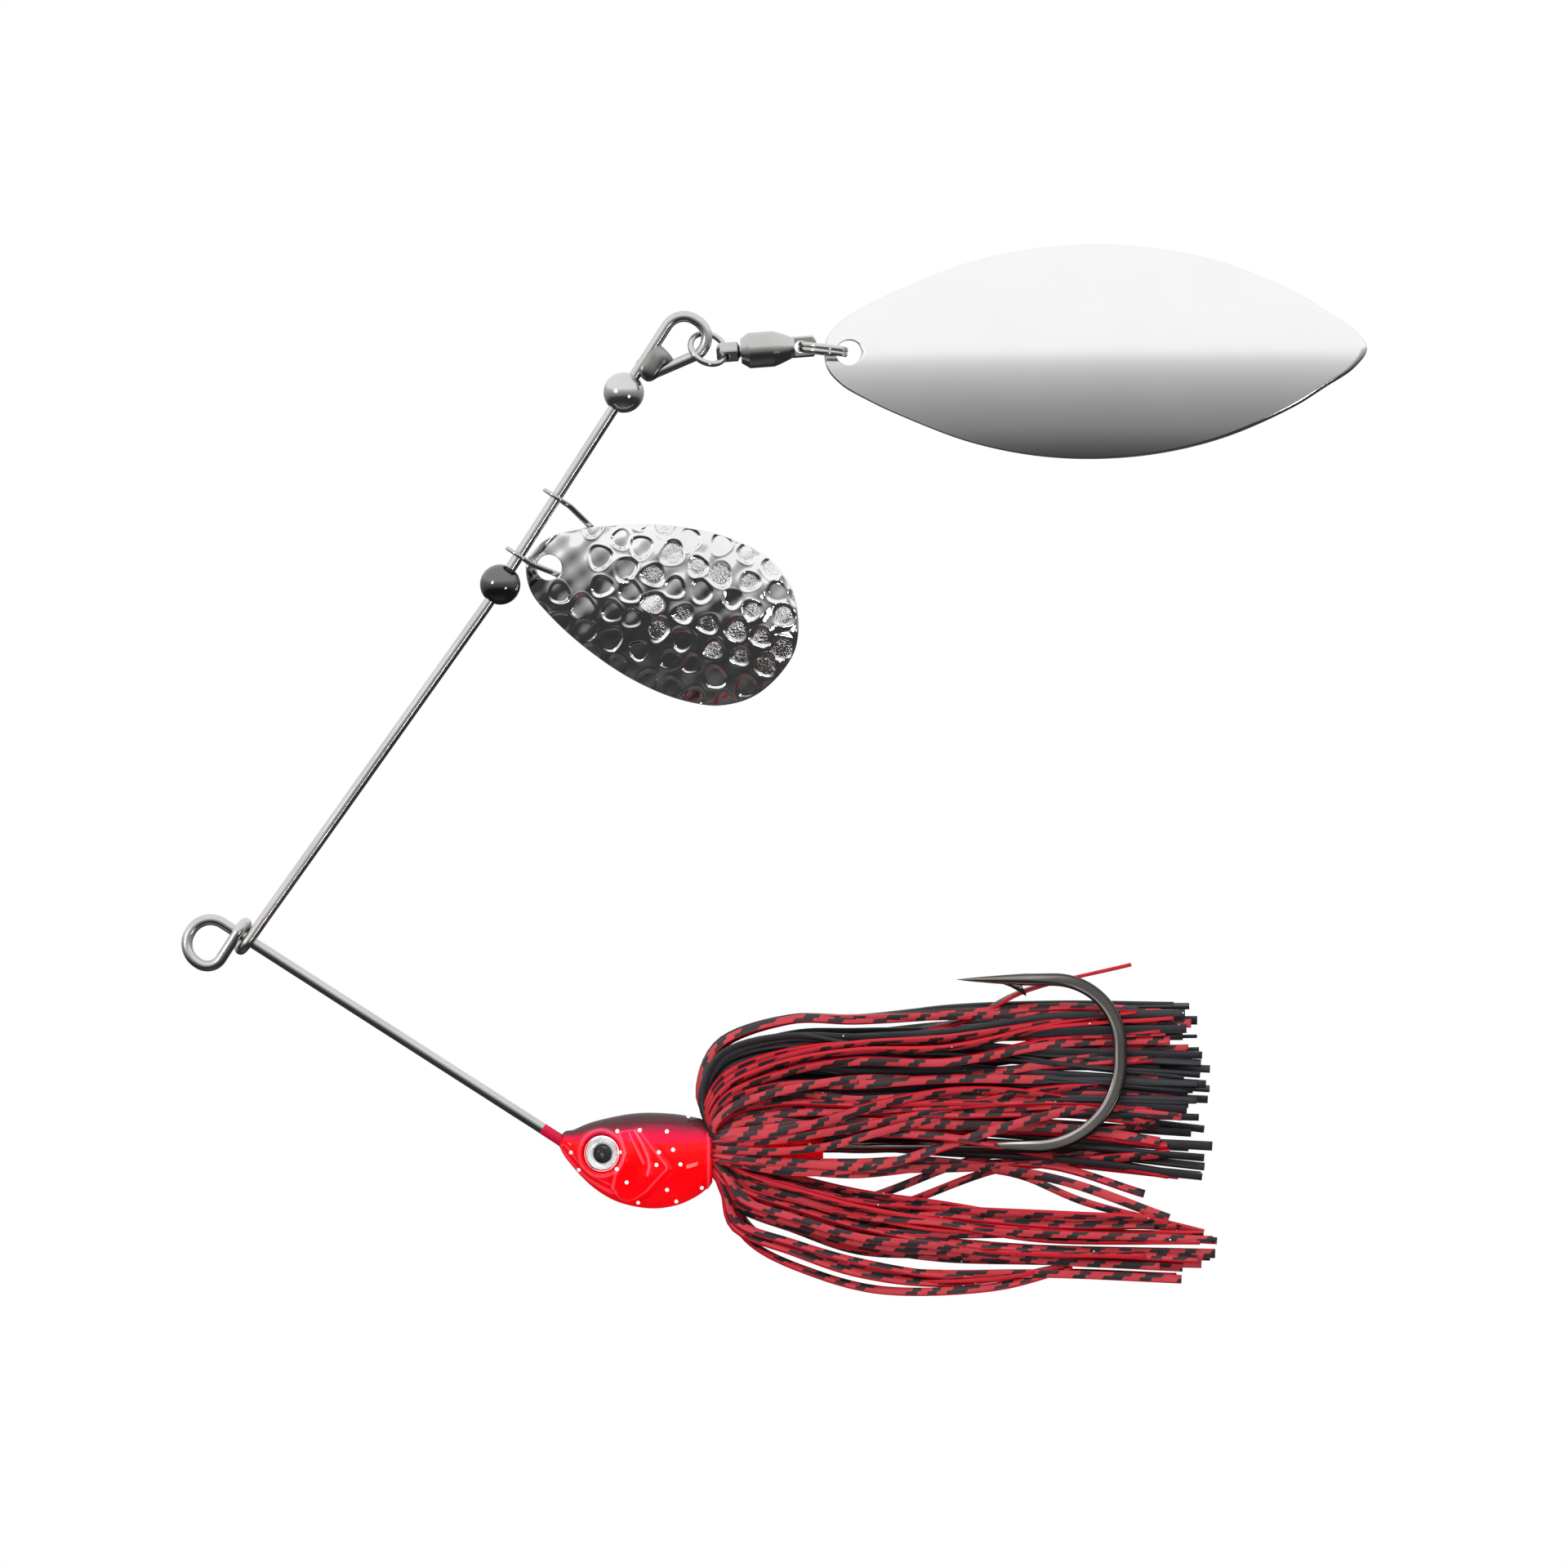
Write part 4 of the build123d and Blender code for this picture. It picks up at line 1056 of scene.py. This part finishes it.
near_routes = [
    ([(-19.0, -2.0, -49.2), (-18.6, -3.3, -50.8), (-18.2, -3.5, -54.0), (-17.7, -3.1, -59.0),
      (-17.5, -2.4, -64.0), (-17.7, -1.6, -71.0), (-18.0, 0.4, -79.0), (-18.4, 1.5, -86.0),
      (-19.5, 1.6, -93.0)], 0.2),
    ([(-19.6, -2.2, -49.2), (-19.5, -3.4, -51.0), (-19.2, -3.7, -55.0), (-18.5, -3.3, -60.0),
      (-17.4, -2.4, -66.0), (-16.0, -1.4, -73.0), (-14.5, 0.8, -81.0), (-13.6, 1.6, -91.0)], -0.2),
    ([(-20.1, -2.3, -49.2), (-20.2, -3.5, -51.0), (-20.3, -3.6, -55.5), (-19.8, -3.2, -60.5),
      (-18.2, -2.4, -66.5), (-16.6, -1.0, -74.0), (-16.0, 1.2, -83.0), (-16.9, 1.6, -93.5)], 0.1),
    ([(-20.5, -2.3, -49.2), (-20.8, -3.4, -51.0), (-21.3, -3.3, -55.5), (-21.7, -2.9, -60.5),
      (-22.0, -2.0, -66.0), (-22.0, 0.4, -73.0), (-21.6, 1.5, -82.0), (-20.6, 1.8, -94.0)], 0.3),
    ([(-20.8, -2.2, -49.2), (-21.3, -3.3, -51.0), (-22.1, -3.3, -55.5), (-22.3, -2.8, -60.0),
      (-21.5, -2.1, -66.5), (-19.8, -1.5, -72.0), (-17.8, -0.9, -78.5), (-16.4, 1.2, -84.5),
      (-15.8, 1.8, -92.0)], -0.1),
    ([(-19.3, -2.2, -49.2), (-19.0, -3.4, -50.9), (-18.6, -3.9, -54.5), (-17.4, -3.6, -60.0),
      (-15.6, -2.8, -66.0), (-14.4, -1.4, -74.0), (-15.2, 1.3, -83.0), (-17.8, 1.7, -92.0)], 0.0),
]
upper_barred = hank_of("skirt_upper_barred", upper_routes(5, barred_layout) + near_routes, barred_red, 21)
upper_black = hank_of("skirt_upper_black", upper_routes(9, black_layout), plain_black, 22)


def lower_routes(seed, layout):
    """Strands that drop from the collar, swing out below and gather to a tail."""
    draw = random.Random(seed)
    made = []
    for count, least, most, sides, stops in layout:
        for i in range(count):
            g = between(least, most, (i + draw.uniform(0.1, 0.9)) / count)
            side = draw.uniform(*sides)
            y_end = draw.uniform(-1.3, 1.8)
            last = min(1.0, max(0.0, g * 1.25 + draw.gauss(0, 0.14)))
            sway = [draw.uniform(-0.4, 0.4) for _ in range(4)]
            made.append((
                [
                    (-20.2 - 2.2 * math.sqrt(1 - side * side), 2.2 * side, -49.2),
                    (-20.9 - 3.7 * g, 3.35 * side, -50.8 + 0.6 * g),
                    (-21.5 - 7.4 * g, 3.35 * side, -53.0 + 1.8 * g),
                    (-22.4 - 9.0 * g + 0.4 * sway[0], 2.9 * side, -57.0),
                    (-23.8 - 9.9 * g + sway[0], 2.1 * side, -63.5),
                    (between(-25.0 - 9.2 * g, -25.5 - 7.4 * last, 0.3) + sway[1],
                    between(1.6 * side, y_end, 0.5), -71.5),
                    (between(-26.2 - 6.8 * g, -26.6 - 6.2 * last, 0.75) + sway[2], y_end, -82.0),
                    (-26.9 - 6.0 * last, y_end + draw.uniform(-0.4, 0.4), -draw.uniform(*stops)),
                ],
                draw.choice([0.0, 0.3, -0.4, 0.6, -0.7, 1.0, -1.1]),
            ))
    return made


lower_layout = [
    (11, 0.03, 0.62, (-0.95, -0.2), (92.0, 98.6)),
    (8, 0.1, 0.66, (-0.1, 0.9), (91.5, 98.6)),
    (3, 0.74, 0.9, (-0.7, 0.5), (90.0, 96.0)),
]
loose = [
    ([(-21.8, -1, -49.3), (-24.6, -1.4, -50.3), (-29.0, -1.2, -52.6), (-31.9, -0.8, -58.0),
      (-34.0, -0.4, -66.0), (-33.7, 0, -76.5), (-31.7, 0.2, -84.4)], 0.9),
    ([(-21.8, 1, -49.3), (-24.2, 1.4, -50.6), (-28.2, 1.2, -53.2), (-31.0, 0.8, -59.0), (-32.9, 0.4, -67.0),
      (-32.9, 0, -76.0), (-31.6, 0.2, -83.6)], 1.0),
    ([(-20.9, -2.2, -49.3), (-21.1, -3.35, -51.0), (-21.4, -3.2, -56.0), (-21.5, -2.2, -63.0),
      (-21.4, 0.4, -71.0), (-23.2, 1.4, -83.0), (-27.0, 1.2, -93.9)], 0.3),
    ([(-21.0, -2.1, -49.3), (-21.4, -3.3, -51.0), (-22.0, -3.1, -56.0), (-22.6, -2.2, -63.0),
      (-21.8, 0.6, -72.0), (-21.8, 1.4, -82.0), (-24.6, 1.6, -91.5)], 0.1),
    ([(-21.6, -1.5, -49.3), (-23.6, -2.6, -50.8), (-26.4, -1.8, -55.5), (-25.0, 0.4, -64.2),
      (-21.5, 1.6, -73.8), (-19.1, 2.0, -84.0), (-17.6, 2.4, -93.0)], 0.2),
    ([(-21.8, -1.3, -49.3), (-24.4, -2.2, -51.0), (-27.6, -1.2, -57.0), (-25.9, 0.6, -66.5),
      (-22.2, 1.7, -77.0), (-20.4, 2.2, -88.0)], -0.3),
    ([(-20.7, 2.0, -49.3), (-21.2, 3.3, -51.4), (-21.6, 2.7, -60.0), (-21.8, 2.0, -70.0),
      (-22.6, 1.6, -78.6), (-25.5, 1.2, -86.0), (-28.4, 1.0, -97.3)], 0.0),
]
lower_barred = hank_of("skirt_lower_barred", lower_routes(14, lower_layout) + loose, barred_red, 23)
stray_route = [(-19.2, 0.6, -49.4), (-14.6, 1.2, -50.4), (-11.0, 1.8, -56.0), (-9.4, 2.0, -65.0),
    (-7.5, 1.6, -74.0), (-4.6, 1.4, -80.0), (-2.1, 1.3, -90.2)]
stray = hank_of("skirt_stray_strand", [(stray_route, 1.0)], barred_red, 24)
for strand_piece, node, finish_slot in (
    (upper_barred, "skirt_upper_barred", "skirt_red"),
    (upper_black, "skirt_upper_black", "skirt_black"),
    (lower_barred, "skirt_lower_barred", "skirt_red"),
):
    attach(strand_piece, "wire_and_head")
    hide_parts(node)
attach(stray, "wire_and_head")

# ---- Studio ----
# A pale floor well under the lure, and a surround that is white to look at but runs from grey to
# near black on one side in the plated parts, so that they show their form. Three large soft lights
# stay out of reflections, and two small softboxes show in the gloss as glints.
low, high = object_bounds()
floor_mesh = bpy.data.meshes.new("studio_floor")
far = 1.5
floor_z = low[2] - 0.12
floor_mesh.from_pydata([(-far, -far, floor_z), (far, -far, floor_z), (far, far, floor_z),
    (-far, far, floor_z)], [], [(0, 1, 2, 3)])
floor = bpy.data.objects.new("studio_floor", floor_mesh)
bpy.context.scene.collection.objects.link(floor)
pale = new_finish("pale floor", Base_Color=(0.85, 0.85, 0.85, 1), Roughness=0.8)[0]
floor_mesh.materials.append(pale)
floor.visible_glossy = False

world = bpy.data.worlds.new("studio surround")
bpy.context.scene.world = world
world.use_nodes = True
sky = world.node_tree
surround = sky.nodes["Background"]
facing = add_node(sky, "ShaderNodeTexCoord").outputs["Generated"]
compass = add_node(sky, "ShaderNodeSeparateXYZ", Vector=facing).outputs["X"]
wall = add_node(sky, "ShaderNodeMapRange", Value=compass, From_Min=-1.0, From_Max=1.0).outputs["Result"]
greys = [
    (0.0, 0.10), (0.05, 0.05), (0.14, 0.035), (0.29, 0.045), (0.345, 0.13), (0.4, 0.24),
    (0.453, 0.30), (0.515, 0.40), (0.565, 0.50), (0.62, 0.68), (0.66, 1.02), (1.0, 1.05),
]
mirrored_wall = ramp(sky, wall, *[(where, (grey, grey, grey)) for where, grey in greys])
direct = add_node(sky, "ShaderNodeLightPath").outputs["Is Camera Ray"]
sky.links.new(mixed(sky, direct, mirrored_wall, (1, 1, 1, 1)), surround.inputs["Color"])


def soft_light(name, spot, aim, width, power, mirrored=False):
    """A large square light aimed at a point, in metres and watts."""
    lamp = bpy.data.lights.new(name, "AREA")
    lamp.size = width
    lamp.energy = power
    holder = bpy.data.objects.new(name, lamp)
    holder.location = spot
    holder.rotation_euler = (Vector(aim) - Vector(spot)).to_track_quat("-Z", "Y").to_euler()
    bpy.context.scene.collection.objects.link(holder)
    holder.visible_glossy = mirrored


centre = (Vector(low) + Vector(high)) / 2
soft_light("key light", centre + Vector((0.45, -0.55, 0.15)), centre, width=0.35, power=5.0)
soft_light("fill light", centre + Vector((-0.2, -0.7, -0.1)), centre, width=0.4, power=1.2)
soft_light("light from below", centre + Vector((-0.6, -0.15, 0.0)), centre, width=0.4, power=2.2)
head_at = Vector((-0.0208, 0, -0.0425))
soft_light("small softbox", head_at + Vector((-0.15, -0.46, -0.30)), head_at, width=0.08, power=0.22,
    mirrored=True)
soft_light("front softbox", head_at + Vector((0.16, -0.40, 0.42)), head_at, width=0.12, power=0.36, mirrored=True)

# ---- Camera ----
# Square to the lure's flat side, with the line tie to the left and the blades along the top.
FIELD = 0.1536
AWAY = 1.5
camera_data = bpy.data.cameras.new("camera")
camera_data.sensor_width = 36.0
camera_data.lens = 36.0 * AWAY / FIELD
camera_data.clip_end = 20.0
camera = bpy.data.objects.new("camera", camera_data)
camera.matrix_world = Matrix((
    (0, 1, 0, 0.0156),
    (0, 0, -1, -AWAY),
    (-1, 0, 0, -0.05616),
    (0, 0, 0, 1),
))
bpy.context.scene.collection.objects.link(camera)
bpy.context.scene.camera = camera
bpy.context.scene.view_settings.view_transform = "Standard"
